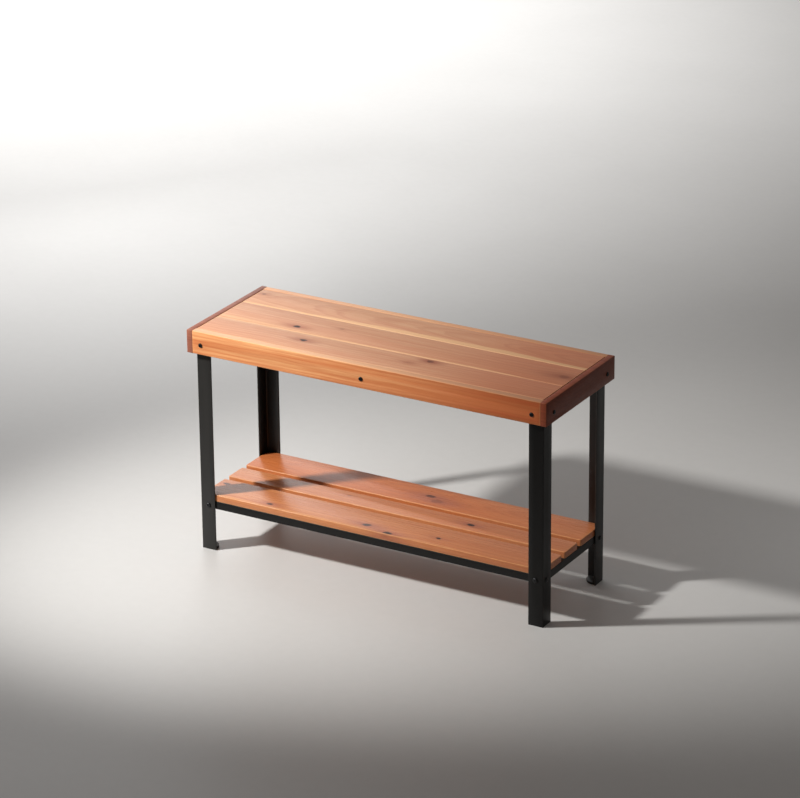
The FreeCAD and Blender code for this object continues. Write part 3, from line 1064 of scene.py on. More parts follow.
@dataclass
class BoardFrame:
    """Aprons along the front and rear, and darker caps that close the ends."""

    edge_round: float = 2.0 * MM
    cap_edge: float = 1.1 * MM
    end_edge: float = 0.35 * MM
    segments: int = 5
    hole_radius: float = 2.6 * MM
    drill_length: float = 90.0 * MM
    pieces: list[Piece] = field(default_factory=list)

    def build(self) -> None:
        """Model the four boards."""
        for side in Side:
            self.pieces.append(self.apron(side))
        for hand in ("left", "right"):
            self.pieces.append(self.cap(hand))

    def apron(self, side: Side) -> Piece:
        """Model one apron.

        Args:
            side: Front or rear.

        Returns:
            The apron.
        """
        node = f"{side.value}_apron"
        low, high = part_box(node)
        outer, inner = (low.y, high.y) if side is Side.FRONT else (high.y, low.y)
        board = add_block(f"{node}_board", low, high)
        for face, radius in ((outer, self.edge_round), (inner, self.end_edge)):
            round_edges(board, self.long_edge_at(face), radius, self.segments)
        ends = (low.x, high.x)
        round_edges(
            board, lambda a, b: any(same(a.x, end) and same(b.x, end) for end in ends), self.end_edge, 2
        )
        self.pierce(board, [f"{node}_bolts", f"{node}_screw"], Axis.Y)
        smooth(board)
        dress(board, APRON_FINISH[side].make((low, high)))
        return keep_piece(board, "cedar_frame", node)

    @staticmethod
    def long_edge_at(face: float) -> EdgeTest:
        """A test for the edges along the bench on one face of an apron."""
        return lambda a, b: not same(a.x, b.x) and same(a.y, face) and same(b.y, face)

    def cap(self, hand: str) -> Piece:
        """Model one end cap.

        Args:
            hand: Left or right.

        Returns:
            The cap.
        """
        node = f"{hand}_end_cap"
        low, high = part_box(node)
        board = add_block(f"{hand}_cap_board", low, high)
        round_edges(board, lambda a, b: True, self.cap_edge, 3)
        self.pierce(board, [f"{hand}_cap_bolts"], Axis.X)
        smooth(board)
        dress(board, CAP_FINISH[hand].make((low, high)))
        return keep_piece(board, "dark_cap", node)

    def pierce(self, board: Piece, nodes: list[str], axis: Axis) -> None:
        """Drill a board through for its bolts.

        Args:
            board: The board.
            nodes: The nodes that hold its bolts and screws.
            axis: The direction through the board.
        """
        for node in nodes:
            for box in loose_parts(node):
                hole = middle_of(box)
                carve(board, add_rod("drill", hole, axis.value, self.hole_radius, self.drill_length))


@dataclass
class Seat:
    """Three planks laid between the boards, screwed down to three battens."""

    plank_corner: float = 3.0 * MM
    plank_edge: float = 0.8 * MM
    batten_edge: float = 1.0 * MM
    counterbore_radius: float = 4.25 * MM
    counterbore_depth: float = 8.0 * MM
    pieces: list[Piece] = field(default_factory=list)

    def build(self) -> None:
        """Model the planks and the battens."""
        for row in ("front", "middle", "rear"):
            self.pieces.append(self.plank(row))
        self.pieces.append(self.batten("left_end_batten", "left_plank_screws", "left_cap_screws"))
        self.pieces.append(self.batten("right_end_batten", "right_plank_screws", "right_cap_screws"))
        self.pieces.append(self.batten("centre_batten", "centre_plank_screws", ""))

    def plank(self, row: str) -> Piece:
        """Model one plank.

        Args:
            row: Front, middle or rear.

        Returns:
            The plank.
        """
        node = f"seat_plank_{row}"
        low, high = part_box(node)
        board = add_block(f"{row}_seat_board", low, high)
        for x in (low.x, high.x):
            for y in (low.y, high.y):
                round_edges(board, upright_at(x, y), self.plank_corner, 5)
        for level in (low.z, high.z):
            round_edges(board, at_level(level), self.plank_edge, 3)
        smooth(board)
        dress(board, PLANK_FINISH[row].make((low, high)))
        return keep_piece(board, "cedar_seat", node)

    def batten(self, node: str, screws: str, side_screws: str) -> Piece:
        """Model one batten with its counterbores.

        Args:
            node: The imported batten.
            screws: The node of the screws that go up through it.
            side_screws: The node of the screws that go out through it, or nothing.

        Returns:
            The batten.
        """
        low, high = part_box(node)
        batten = add_block(f"{node}_strip", low, high)
        round_edges(batten, lambda a, b: True, self.batten_edge, 2)
        for box in loose_parts(screws):
            mouth = Vector((middle_of(box).x, middle_of(box).y, low.z))
            drill(batten, mouth, Axis.Z.value, self.counterbore_radius, self.counterbore_depth)
        for box in loose_parts(side_screws) if side_screws else ():
            out = math.copysign(1.0, low.x)
            mouth = Vector((high.x if out < 0 else low.x, middle_of(box).y, middle_of(box).z))
            drill(batten, mouth, Axis.X.value * out, self.counterbore_radius, self.counterbore_depth)
        smooth(batten)
        dress(batten, BATTEN_FINISH.make((low, high)))
        return keep_piece(batten, "batten_pine", node)


@dataclass
class Legs:
    """Four legs of steel angle, heel outwards, each on a foot plate with a rounded free corner."""

    wall: float = 3.0 * MM
    heel_round: float = 0.8 * MM
    toe_round: float = 1.5 * MM
    toe_edge: float = 0.3 * MM
    root_round: float = 2.5 * MM
    end_edge: float = 0.25 * MM
    hole_radius: float = 2.6 * MM
    foot_flat: float = 5.0 * MM
    foot_root_cut: float = 2.8 * MM
    foot_edge: float = 0.6 * MM
    drill_length: float = 30.0 * MM
    bolt_reach: float = 20.0 * MM
    pieces: list[Piece] = field(default_factory=list)

    def build(self) -> None:
        """Model the legs and their foot plates."""
        for corner in ("front_left", "front_right", "rear_left", "rear_right"):
            self.pieces.append(self.leg(corner))
            self.pieces.append(self.foot(corner))

    def leg(self, corner: str) -> Piece:
        """Model one leg.

        Args:
            corner: The corner that it stands at.

        Returns:
            The leg.
        """
        node = f"{corner}_leg"
        low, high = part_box(node)
        side_x = math.copysign(1.0, low.x + high.x)
        side_y = math.copysign(1.0, low.y + high.y)
        heel = Vector((high.x if side_x > 0 else low.x, high.y if side_y > 0 else low.y, 0))
        toe = Vector((low.x if side_x > 0 else high.x, low.y if side_y > 0 else high.y, 0))
        inner = Vector((heel.x - side_x * self.wall, heel.y - side_y * self.wall, 0))
        first = Vector((min(heel.x, toe.x), min(heel.y, inner.y), low.z))
        last = Vector((max(heel.x, toe.x), max(heel.y, inner.y), high.z))
        angle = add_block(f"{corner}_angle", first, last)
        slice_along(angle, Axis.X, [inner.x])

        def grows(face: bpy.types.MeshPolygon) -> bool:
            """True for the strip that the second flange grows from."""
            return face.normal.y * side_y < -FACING and (face.center.x - inner.x) * side_x > 0

        select(angle, Part.FACE, grows)
        bpy.ops.mesh.extrude_region_move(TRANSFORM_OT_translate={"value": (0, toe.y - inner.y, 0)})
        enter(Mode.OBJECT)
        self.shape_edges(angle, heel, toe, inner)
        for level in (low.z, high.z):
            round_edges(angle, at_level(level), self.end_edge, 1)
        self.pierce(angle, (low, high))
        smooth(angle)
        dress(angle, LEG_PAINT_LIT_AND_SHADED[corner].make((low, high)))
        return keep_piece(angle, "black_steel", node)

    def shape_edges(self, angle: Piece, heel: Vector, toe: Vector, inner: Vector) -> None:
        """Round the long edges of a leg.

        Args:
            angle: The leg.
            heel: The outer corner of its section.
            toe: The corner of its box opposite the heel.
            inner: The inner corner of its section.
        """
        round_edges(angle, upright_at(inner.x, inner.y), self.root_round, 5)
        round_edges(angle, upright_at(heel.x, heel.y), self.heel_round, 4)
        for x, y in ((toe.x, inner.y), (inner.x, toe.y)):
            round_edges(angle, upright_at(x, y), self.toe_round, 4)
        for x, y in ((toe.x, heel.y), (heel.x, toe.y)):
            round_edges(angle, upright_at(x, y), self.toe_edge, 2)

    def pierce(self, angle: Piece, box: Span) -> None:
        """Drill a leg for the bolts that cross its flanges.

        Args:
            angle: The leg.
            box: Lowest and highest corner of the leg.
        """
        for node in (*FRAME_BOLTS, "rail_bolts"):
            for bolt in loose_parts(node):
                spot = middle_of(bolt)
                if all(box[0][i] - self.bolt_reach < spot[i] < box[1][i] + self.bolt_reach for i in range(2)):
                    size = bolt[1] - bolt[0]
                    axis = Axis.X if size.x > size.y else Axis.Y
                    carve(angle, add_rod("drill", spot, axis.value, self.hole_radius, self.drill_length))

    def foot(self, corner: str) -> Piece:
        """Model one foot plate.

        Args:
            corner: The corner that it lies at.

        Returns:
            The foot plate.
        """
        node = f"{corner}_foot_plate"
        low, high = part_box(node)
        free_x = low.x if low.x + high.x > 0 else high.x
        free_y = low.y if low.y + high.y > 0 else high.y
        plate = add_block(f"{corner}_foot", low, high)
        root_x = low.x + high.x - free_x
        root_y = low.y + high.y - free_y
        round_edges(plate, upright_at(free_x, free_y), high.x - low.x - self.foot_flat, 14)
        round_edges(plate, upright_at(root_x, root_y), self.foot_root_cut, 1)
        for level in (low.z, high.z):
            round_edges(plate, at_level(level), self.foot_edge, 2)
        smooth(plate)
        dress(plate, PaintedSteel(f"{corner}_foot_paint").make((low, high)))
        return keep_piece(plate, "black_steel", node)


@dataclass
class Shelf:
    """A mitred frame of small angle between the legs, with three slats on it."""

    wall: float = 3.0 * MM
    corner_cut: float = 2.8 * MM
    rail_edge: float = 0.6 * MM
    root_round: float = 1.6 * MM
    hole_radius: float = 2.6 * MM
    slat_corner: float = 3.0 * MM
    slat_leg_round: float = 25.0 * MM
    slat_edge: float = 1.0 * MM
    drill_length: float = 30.0 * MM
    overrun: float = 10.0 * MM
    pieces: list[Piece] = field(default_factory=list)

    def build(self) -> None:
        """Model the rails and the slats."""
        for side in ("front", "rear", "left", "right"):
            self.pieces.append(self.rail(side))
        for row in ("front", "middle", "rear"):
            self.pieces.append(self.slat(row))

    def rail(self, side: str) -> Piece:
        """Model one rail: a block, hollowed to an angle and mitred.

        Args:
            side: The side of the bench that it runs along.

        Returns:
            The rail.
        """
        node = f"shelf_rail_{side}"
        low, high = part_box(node)
        other = "left" if side in ("front", "rear") else "front"
        across_low, across_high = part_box(f"shelf_rail_{other}")
        along_x = side in ("front", "rear")
        run = Axis.X.value if along_x else Axis.Y.value
        flat = Axis.Y.value if along_x else Axis.X.value
        out = math.copysign(1.0, (low + high).dot(flat))
        face = (high if out > 0 else low).dot(flat)
        reach = abs(across_low.x) if along_x else abs(across_low.y)
        bar = add_block(f"{side}_rail_angle", low, high)
        hollow_low = Vector(low)
        hollow_high = Vector(high)
        hollow_high.z = high.z - self.wall
        hollow_low -= (run + Axis.Z.value) * self.overrun
        hollow_high += run * self.overrun
        shift = flat * (self.wall * out)
        hollow_low -= shift
        hollow_high -= shift
        carve(bar, add_block("hollow", hollow_low, hollow_high))
        self.shape_edges(bar, run, flat, face, out, high.z)
        for end in (-1.0, 1.0):
            corner = run * (end * reach) + flat * face
            trim(bar, corner, run * end - flat * out)
            trim(bar, corner - (run * end) * self.corner_cut, run * end + flat * out)
        for bolt in loose_parts("rail_bolts"):
            size = bolt[1] - bolt[0]
            if (size.dot(flat) > size.dot(run)) and middle_of(bolt).dot(flat) * out > 0:
                carve(bar, add_rod("drill", middle_of(bolt), flat, self.hole_radius, self.drill_length))
        smooth(bar)
        dress(bar, replace(RAIL_PAINT, name=f"{side}_rail_paint").make((low, high)))
        return keep_piece(bar, "black_steel", node)

    def shape_edges(
        self, bar: Piece, run: Vector, flat: Vector, face: float, out: float, top: float
    ) -> None:
        """Round the long edges of a rail.

        Args:
            bar: The rail.
            run: The direction that it runs in.
            flat: The direction across it.
            face: Where its outer face lies across the bench.
            out: 1 or -1, the side that its outer face is on.
            top: Its highest level.
        """

        def along_at(level: float, place: float) -> EdgeTest:
            """A test for the long edge at a level and a place across."""
            return lambda a, b: (
                abs((a - b).dot(run)) > self.wall
                and all(same(p.z, level) and same(p.dot(flat), place) for p in (a, b))
            )

        inner = face - out * self.wall
        round_edges(bar, along_at(top - self.wall, inner), self.root_round, 4)
        round_edges(bar, along_at(top, face), self.rail_edge, 3)

    def slat(self, row: str) -> Piece:
        """Model one slat, cut round where it meets a left leg.

        Args:
            row: Front, middle or rear.

        Returns:
            The slat.
        """
        node = f"shelf_slat_{row}"
        low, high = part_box(node)
        board = add_block(f"{row}_shelf_board", low, high)
        outer = {"front": low.y, "rear": high.y}.get(row)
        for x in (low.x, high.x):
            for y in (low.y, high.y):
                meets_leg = outer is not None and same(y, outer) and x < 0
                radius = self.slat_leg_round if meets_leg else self.slat_corner
                round_edges(board, upright_at(x, y), radius, 14 if meets_leg else 4)
        for level in (low.z, high.z):
            round_edges(board, at_level(level), self.slat_edge, 3)
        smooth(board)
        dress(board, SLAT_FINISH[row].make((low, high)))
        return keep_piece(board, "cedar_shelf", node)


# ---------------------------------------------------------------- bolts, screws and nuts


class Out(Enum):
    """The way that a fastener's head faces."""

    AWAY = "away from the middle of the bench"
    INWARD = "towards the middle of the bench"
    DOWN = "down"


@dataclass(frozen=True)
class Fastener:
    """A group of like fasteners.

    Each is modelled once about the origin, its head above z = 0 and its shank below.
    """

    name: str
    node: str
    head_radius: float
    head_height: float
    shank_radius: float
    out: Out = Out.AWAY
    pointed: bool = False
    sides: int = 40
    flat_dome: float = 0.45
    full_dome: float = 0.8
    pitch: float = 0.8 * MM
    most_turns: int = 12
    crest: float = 0.84
    taper: float = 0.9
    tip: float = 0.35
    drive_depth: float = 0.55
    hexagon: float = 1.73 * MM
    cross_wide: float = 1.9 * MM
    cross_thin: float = 0.45 * MM

    def facing(self, box: Span) -> Vector:
        """The way that the head of one fastener faces.

        Args:
            box: The fastener's box.

        Returns:
            A unit vector.
        """
        if self.out is Out.DOWN:
            return -Axis.Z.value
        size = box[1] - box[0]
        axis = Axis.X.value if size.x > size.y else Axis.Y.value
        sign = math.copysign(1.0, middle_of(box).dot(axis))
        return axis * (sign if self.out is Out.AWAY else -sign)

    def place(self, box: Span) -> Matrix:
        """Turn and move the model to one fastener's box.

        Args:
            box: The fastener's box.

        Returns:
            The matrix.
        """
        facing = self.facing(box)
        half = abs((box[1] - box[0]).dot(facing)) / 2
        seat = middle_of(box) + facing * (half - self.head_height)
        return Matrix.Translation(seat) @ facing.to_track_quat("Z", "Y").to_matrix().to_4x4()

    def model(self, length: float) -> Piece:
        """Model one fastener.

        Args:
            length: Its length under the head.

        Returns:
            The model.
        """
        head = self.head_height
        middle = Axis.Z.value * (head / 2)
        piece = add_rod("fastener", middle, Axis.Z.value, self.head_radius, head, self.sides)
        if self.pointed and self.out is not Out.AWAY:
            round_edges(piece, at_level(head), head * self.flat_dome, 4)
        else:
            round_edges(piece, at_level(head), head * self.full_dome, 7)
        self.add_shank(piece, length)
        self.add_drive(piece)
        smooth(piece, 35)
        return piece

    def add_shank(self, piece: Piece, length: float) -> None:
        """Draw the shank out of the underside of the head.

        Args:
            piece: The head.
            length: Length under the head.
        """
        select(piece, Part.FACE, lambda face: face.normal.z < -FACING)
        bpy.ops.mesh.inset(thickness=self.head_radius - self.shank_radius)
        turns = min(int(length / self.pitch) - 1, self.most_turns)
        self.draw_out(length - turns * self.pitch, 1.0)
        for turn in range(turns):
            last = turn == turns - 1
            grow = self.crest if turn % 2 == 0 else 1 / self.crest
            if self.pointed:
                grow *= 1 - self.taper / (turns + 1)
            if last:
                grow = self.crest * (self.tip if self.pointed else 1.0) if turn % 2 == 0 else 0.9
            self.draw_out(self.pitch, grow)
        enter(Mode.OBJECT)

    @staticmethod
    def draw_out(distance: float, grow: float) -> None:
        """Extrude the chosen end and change its width."""
        bpy.ops.mesh.extrude_region_move(TRANSFORM_OT_translate={"value": (0, 0, -distance)})
        bpy.ops.transform.resize(value=(grow, grow, 1), center_override=(0, 0, 0))

    def add_drive(self, piece: Piece) -> None:
        """Cut the drive recess: six-sided in a bolt, a cross in a wood screw.

        Args:
            piece: The fastener.
        """
        top = Axis.Z.value * self.head_height
        depth = self.head_height * self.drive_depth
        if self.out is Out.AWAY:
            carve(piece, add_rod("drive", top, Axis.Z.value, self.hexagon, depth * 2, 6))
            return
        wide, thin = self.cross_wide, self.cross_thin
        for x, y in ((wide, thin), (thin, wide)):
            reach = Vector((x, y, depth))
            cutter = add_block("drive", top - reach, top + reach)
            round_edges(cutter, at_level(top.z - depth), thin * 0.9, 1)
            carve(piece, cutter)

    def build(self, material: bpy.types.Material, slot: str) -> Piece:
        """Model the fastener once and copy it to every place.

        Args:
            material: Its finish.
            slot: Passed to keep_piece, which does not use it.

        Returns:
            The joined group.
        """
        boxes = loose_parts(self.node)
        span = boxes[0][1] - boxes[0][0]
        length = abs(span.dot(self.facing(boxes[0]))) - self.head_height
        model = self.model(length)
        copies = [copy_of(model, self.place(box)) for box in boxes]
        bpy.data.objects.remove(model)
        group = join(self.name, copies)
        dress(group, material)
        return keep_piece(group, slot, self.node)


@dataclass(frozen=True)
class NutGroup:
    """A group of like six-sided nuts."""

    name: str
    node: str
    flats: float = 8.0 * MM
    height: float = 4.0 * MM
    hole_radius: float = 2.5 * MM
    chamfer: float = 0.45 * MM

    def model(self) -> Piece:
        """Model one nut about the origin, its corners on Y and its hole along Z."""
        corner = self.flats / math.sqrt(3)
        nut = add_rod("nut", Vector(), Axis.Z.value, corner, self.height, 6)
        blank = add_rod("blank", Vector(), Axis.Z.value, corner, self.height, 48)
        half = self.height / 2
        for level in (half, -half):
            round_edges(blank, at_level(level), self.chamfer, 1)
        carve(nut, blank, Cut.INSIDE)
        carve(nut, add_rod("bore", Vector(), Axis.Z.value, self.hole_radius, self.height * 2))
        smooth(nut, 30)
        return nut

    def build(self, material: bpy.types.Material, slot: str) -> Piece:
        """Model the nut once and copy it to every place.

        Args:
            material: Its finish.
            slot: Passed to keep_piece, which does not use it.

        Returns:
            The joined group.
        """
        model = self.model()
        copies = []
        for box in loose_parts(self.node):
            size = box[1] - box[0]
            thin = min(range(3), key=lambda i: size[i])
            wide = max(range(3), key=lambda i: size[i])
            axis = list(Axis)[thin].value
            corner = list(Axis)[wide].value
            third = corner.cross(axis)
            turn = Matrix((third, corner, axis)).transposed().to_4x4()
            copies.append(copy_of(model, Matrix.Translation(middle_of(box)) @ turn))
        bpy.data.objects.remove(model)
        group = join(self.name, copies)
        dress(group, material)
        return keep_piece(group, slot, self.node)


@dataclass
class Hardware:
    """Every bolt, screw and nut of the bench."""

    frame_head: tuple[float, float] = (4.5 * MM, 2.2 * MM)
    rail_head: tuple[float, float] = (5.0 * MM, 2.8 * MM)
    screw_head: tuple[float, float] = (3.5 * MM, 2.2 * MM)
    bolt_shank: float = 2.5 * MM
    screw_shank: float = 2.0 * MM
    pieces: list[Piece] = field(default_factory=list)

    def build(self) -> None:
        """Model all the fasteners."""
        black = BLACK_OXIDE.make()
        zinc = ZINC.make()
        bolts = [
            Fastener(f"{node}_button_head", node, *self.frame_head, self.bolt_shank)
            for node in FRAME_BOLTS
        ]
        bolts.append(Fastener("shelf_rail_button_heads", "rail_bolts", *self.rail_head, self.bolt_shank))
        for node in ("front_apron_screw", "rear_apron_screw"):
            bolts.append(
                Fastener(f"{node}_button_head", node, *self.frame_head, self.screw_shank, pointed=True)
            )
        for bolt in bolts:
            self.pieces.append(bolt.build(black, "black_fastener"))
        hidden = {
            "left_plank_screws": Out.DOWN,
            "right_plank_screws": Out.DOWN,
            "centre_plank_screws": Out.DOWN,
            "slat_screws": Out.DOWN,
            "left_cap_screws": Out.INWARD,
            "right_cap_screws": Out.INWARD,
        }
        for node, out in hidden.items():
            screw = Fastener(f"{node}_cross_head", node, *self.screw_head, self.screw_shank, out, True)
            self.pieces.append(screw.build(zinc, "zinc_nut"))
        for node in ("front_apron_nuts", "rear_apron_nuts", "left_cap_nuts", "right_cap_nuts", "rail_nuts"):
            self.pieces.append(NutGroup(f"{node}_hex", node).build(zinc, "zinc_nut"))


# ---------------------------------------------------------------- finishes of this bench


SEAT_TONES = Tones(
    pale=(0.69, 0.365, 0.205),
    deep=(0.58, 0.250, 0.138),
    late=(0.41, 0.130, 0.070),
    sap=(0.80, 0.50, 0.26),
    painted_shade_tone=(0.62, 0.225, 0.115),
)
APRON_TONES = Tones(
    pale=(0.78, 0.405, 0.175),
    deep=(0.54, 0.170, 0.058),
    late=(0.41, 0.100, 0.032),
    sap=(0.80, 0.42, 0.19),
    painted_shade_tone=(0.54, 0.105, 0.032),
    painted_light_tone=(0.80, 0.44, 0.21),
)
SHELF_TONES = Tones(
    pale=(0.575, 0.228, 0.086),
    deep=(0.435, 0.130, 0.044),
    late=(0.300, 0.074, 0.024),
    sap=(0.70, 0.36, 0.15),
    painted_shade_tone=(0.46, 0.170, 0.082),
    painted_light_tone=(0.50, 0.125, 0.027),
)
# Right cap: darker, redder tones that paint the shade over the right end.
CAP_TONES_SHADED_RIGHT = Tones(
    pale=(0.30, 0.072, 0.030), deep=(0.20, 0.042, 0.019), late=(0.10, 0.023, 0.013), sap=(0.35, 0.12, 0.06)
)
# Left cap: paler tones that paint the light on the left end; both caps are the same wood.
CAP_TONES_LIT_LEFT = Tones(
    pale=(0.34, 0.125, 0.078), deep=(0.24, 0.080, 0.050), late=(0.14, 0.040, 0.028), sap=(0.40, 0.17, 0.10)
)
PINE_TONES = Tones(
    pale=(0.74, 0.55, 0.33), deep=(0.64, 0.44, 0.24), late=(0.48, 0.28, 0.12), sap=(0.82, 0.66, 0.44)
)

# The seat carries painted shade at its right end and a painted sheen at its left end.
SEAT_BOARD = Timber("cedar_plank", SEAT_TONES, pith=(0.0, 0.4), right_end_painted_shade=0.85, left_end_painted_light=0.6)
PLANK_FINISH = {
    "front": replace(
        SEAT_BOARD,
        name="cedar_plank_front",
        pith=(-0.150, 0.405),
        lean=(0.020, 0.020),
        ring_width=0.0056,
        wander=0.014,
        seed=1.0,
        knots=(
            Knot(-0.169, -0.079, 0.0060, 1.0, 1.25, 0.8),
            Knot(0.105, -0.059, 0.0062, 0.5, 1.1, 0.95),
            Knot(0.070, -0.083, 0.0042, 0.05, 1.2, 0.6),
        ),
        sapwood=(Sapwood(-0.047, -1, 0.005, 0.001, 0.0, strength=0.4),),
    ),
    "middle": replace(
        SEAT_BOARD,
        name="cedar_plank_middle",
        pith=(0.062, 0.395),
        lean=(-0.025, -0.020),
        ring_width=0.0054,
        wander=0.013,
        seed=4.0,
        knots=(
            Knot(-0.218, -0.022, 0.0060, 1.0, 1.35, 0.8),
            Knot(-0.133, 0.009, 0.0035, 0.25, 1.7, 0.3),
            Knot(0.366, -0.005, 0.0085, 0.25, 1.4, 0.75),
        ),
        sapwood=(
            Sapwood(-0.047, 1, 0.001, 0.0045, 0.0, strength=0.5),
            Sapwood(-0.047, 1, 0.012, 0.0, 0.0, inset=0.007, strength=0.4),
        ),
    ),
    "rear": replace(
        SEAT_BOARD,
        name="cedar_plank_rear",
        pith=(0.090, 0.412),
        lean=(0.0, 0.060),
        ring_width=0.0050,
        wander=0.012,
        seed=7.0,
        knots=(Knot(-0.370, 0.101, 0.0048, 0.4, 1.4, 0.4),),
        sapwood=(Sapwood(0.0445, 1, 0.0018, 0.0165, 0.009, strength=0.72),),
    ),
}

# The aprons carry painted shade at their right ends, a painted sheen at their left ends and painted light on
# their top faces.
APRON_BOARD = Timber(
    "cedar_apron",
    APRON_TONES,
    pith=(0.0, 0.9),
    wander=0.016,
    ring_strength=0.34,
    fibre_strength=0.26,
    mottle=0.85,
    right_end_painted_shade=0.9,
    left_end_painted_light=0.18,
    painted_top_light=0.6,
)
APRON_FINISH = {
    Side.FRONT: replace(
        APRON_BOARD,
        name="cedar_apron_front",
        pith=(-0.160, 0.900),
        lean=(0.0, 0.010),
        ring_width=0.0110,
        streaks=125.0,
        seed=11.0,
    ),
    Side.REAR: replace(
        APRON_BOARD,
        name="cedar_apron_rear",
        pith=(0.160, 0.860),
        lean=(0.0, -0.012),
        ring_width=0.0105,
        streaks=120.0,
        seed=13.0,
    ),
}

CAP_FINISH = {
    "left": Timber(
        "stained_cap_left_painted_light", CAP_TONES_LIT_LEFT, pith=(0.0, 0.70), ring_width=0.007, wander=0.015, seed=17.0
    ),
    "right": Timber(
        "stained_cap_right_painted_shade", CAP_TONES_SHADED_RIGHT, pith=(0.0, 0.72), ring_width=0.007, wander=0.015, seed=19.0
    ),
}

# The slats carry painted shade at their right ends, and their stronger rubbed edges add painted highlights
# along the arrises.
SHELF_BOARD = Timber(
    "cedar_slat", SHELF_TONES, pith=(0.0, 0.06), roughness=(0.24, 0.36), gloss=0.42, right_end_painted_shade=0.5, rubbed=0.5
)
SLAT_FINISH = {
    "front": replace(
        SHELF_BOARD,
        name="cedar_slat_front",
        pith=(-0.140, 0.060),
        lean=(0.03, -0.03),
        ring_width=0.0056,
        wander=0.014,
        seed=23.0,
        knots=(
            Knot(-0.366, -0.063, 0.0058, 0.9, 1.7, 0.5),
            Knot(-0.236, -0.107, 0.0050, 0.9, 1.7, 0.8),
            Knot(-0.016, -0.102, 0.0064, 1.0, 1.7, 0.9),
            Knot(0.039, -0.1160, 0.0060, 1.0, 1.9, 0.9),
            Knot(0.138, -0.0895, 0.0042, 1.0, 1.6, 0.5),
        ),
        sapwood=(Sapwood(-0.1215, 1, 0.006, 0.004, 0.002, inset=0.0035, strength=0.35),),
    ),
    "middle": replace(
        SHELF_BOARD,
        name="cedar_slat_middle",
        pith=(0.050, 0.060),
        lean=(-0.02, 0.03),
        ring_width=0.0052,
        wander=0.013,
        seed=29.0,
        knots=(Knot(0.162, -0.004, 0.0058, 1.0, 1.7, 0.9), Knot(-0.12, 0.005, 0.003, 0.3, 1.7, 0.3)),
    ),
    "rear": replace(
        SHELF_BOARD,
        name="cedar_slat_rear",
        pith=(0.085, 0.058),
        lean=(0.01, 0.050),
        ring_width=0.0054,
        wander=0.014,
        seed=31.0,
        knots=(Knot(0.025, 0.0795, 0.0068, 1.0, 1.9, 0.9), Knot(0.047, 0.064, 0.0085, 0.3, 1.8, 0.9)),
        # Painted reflection of the dark rear left leg: a more saturated left end.
        left_end_painted_light=0.65,
    ),
}

# Painted light and shade: the front left leg's lighter paint is painted sunlight; the other legs' darker
# paints, and the front right leg's lower gloss, are painted shade.
LEG_PAINT_LIT_AND_SHADED = {
    "front_left": PaintedSteel("front_left_leg_paint_painted_light", paint=(0.0125, 0.0118, 0.0108)),
    "front_right": PaintedSteel("front_right_leg_paint_painted_shade", paint=(0.0026, 0.0024, 0.0022), gloss=0.2),
    "rear_left": PaintedSteel("rear_left_leg_paint_painted_shade", paint=(0.0045, 0.0040, 0.0036)),
    "rear_right": PaintedSteel("rear_right_leg_paint", paint=(0.0050, 0.0047, 0.0042)),
}
RAIL_PAINT = PaintedSteel("rail_paint", paint=(0.0030, 0.0028, 0.0025), gloss=0.25)
BATTEN_FINISH = Timber("pine_batten", PINE_TONES, pith=(0.03, 0.37), ring_width=0.004, seed=37.0)
BLACK_OXIDE = FastenerMetal("black_oxide", (0.012, 0.012, 0.013), (0.035, 0.035, 0.037), 0.6, (0.28, 0.42))
ZINC = FastenerMetal("zinc_plate", (0.50, 0.51, 0.52), (0.66, 0.66, 0.65), 0.95, (0.28, 0.45))


# ---------------------------------------------------------------- floor, light and camera


def at(x: float, y: float, z: float) -> Vector:
    """A field that holds a place."""
    return field(default_factory=lambda: Vector((x, y, z)))


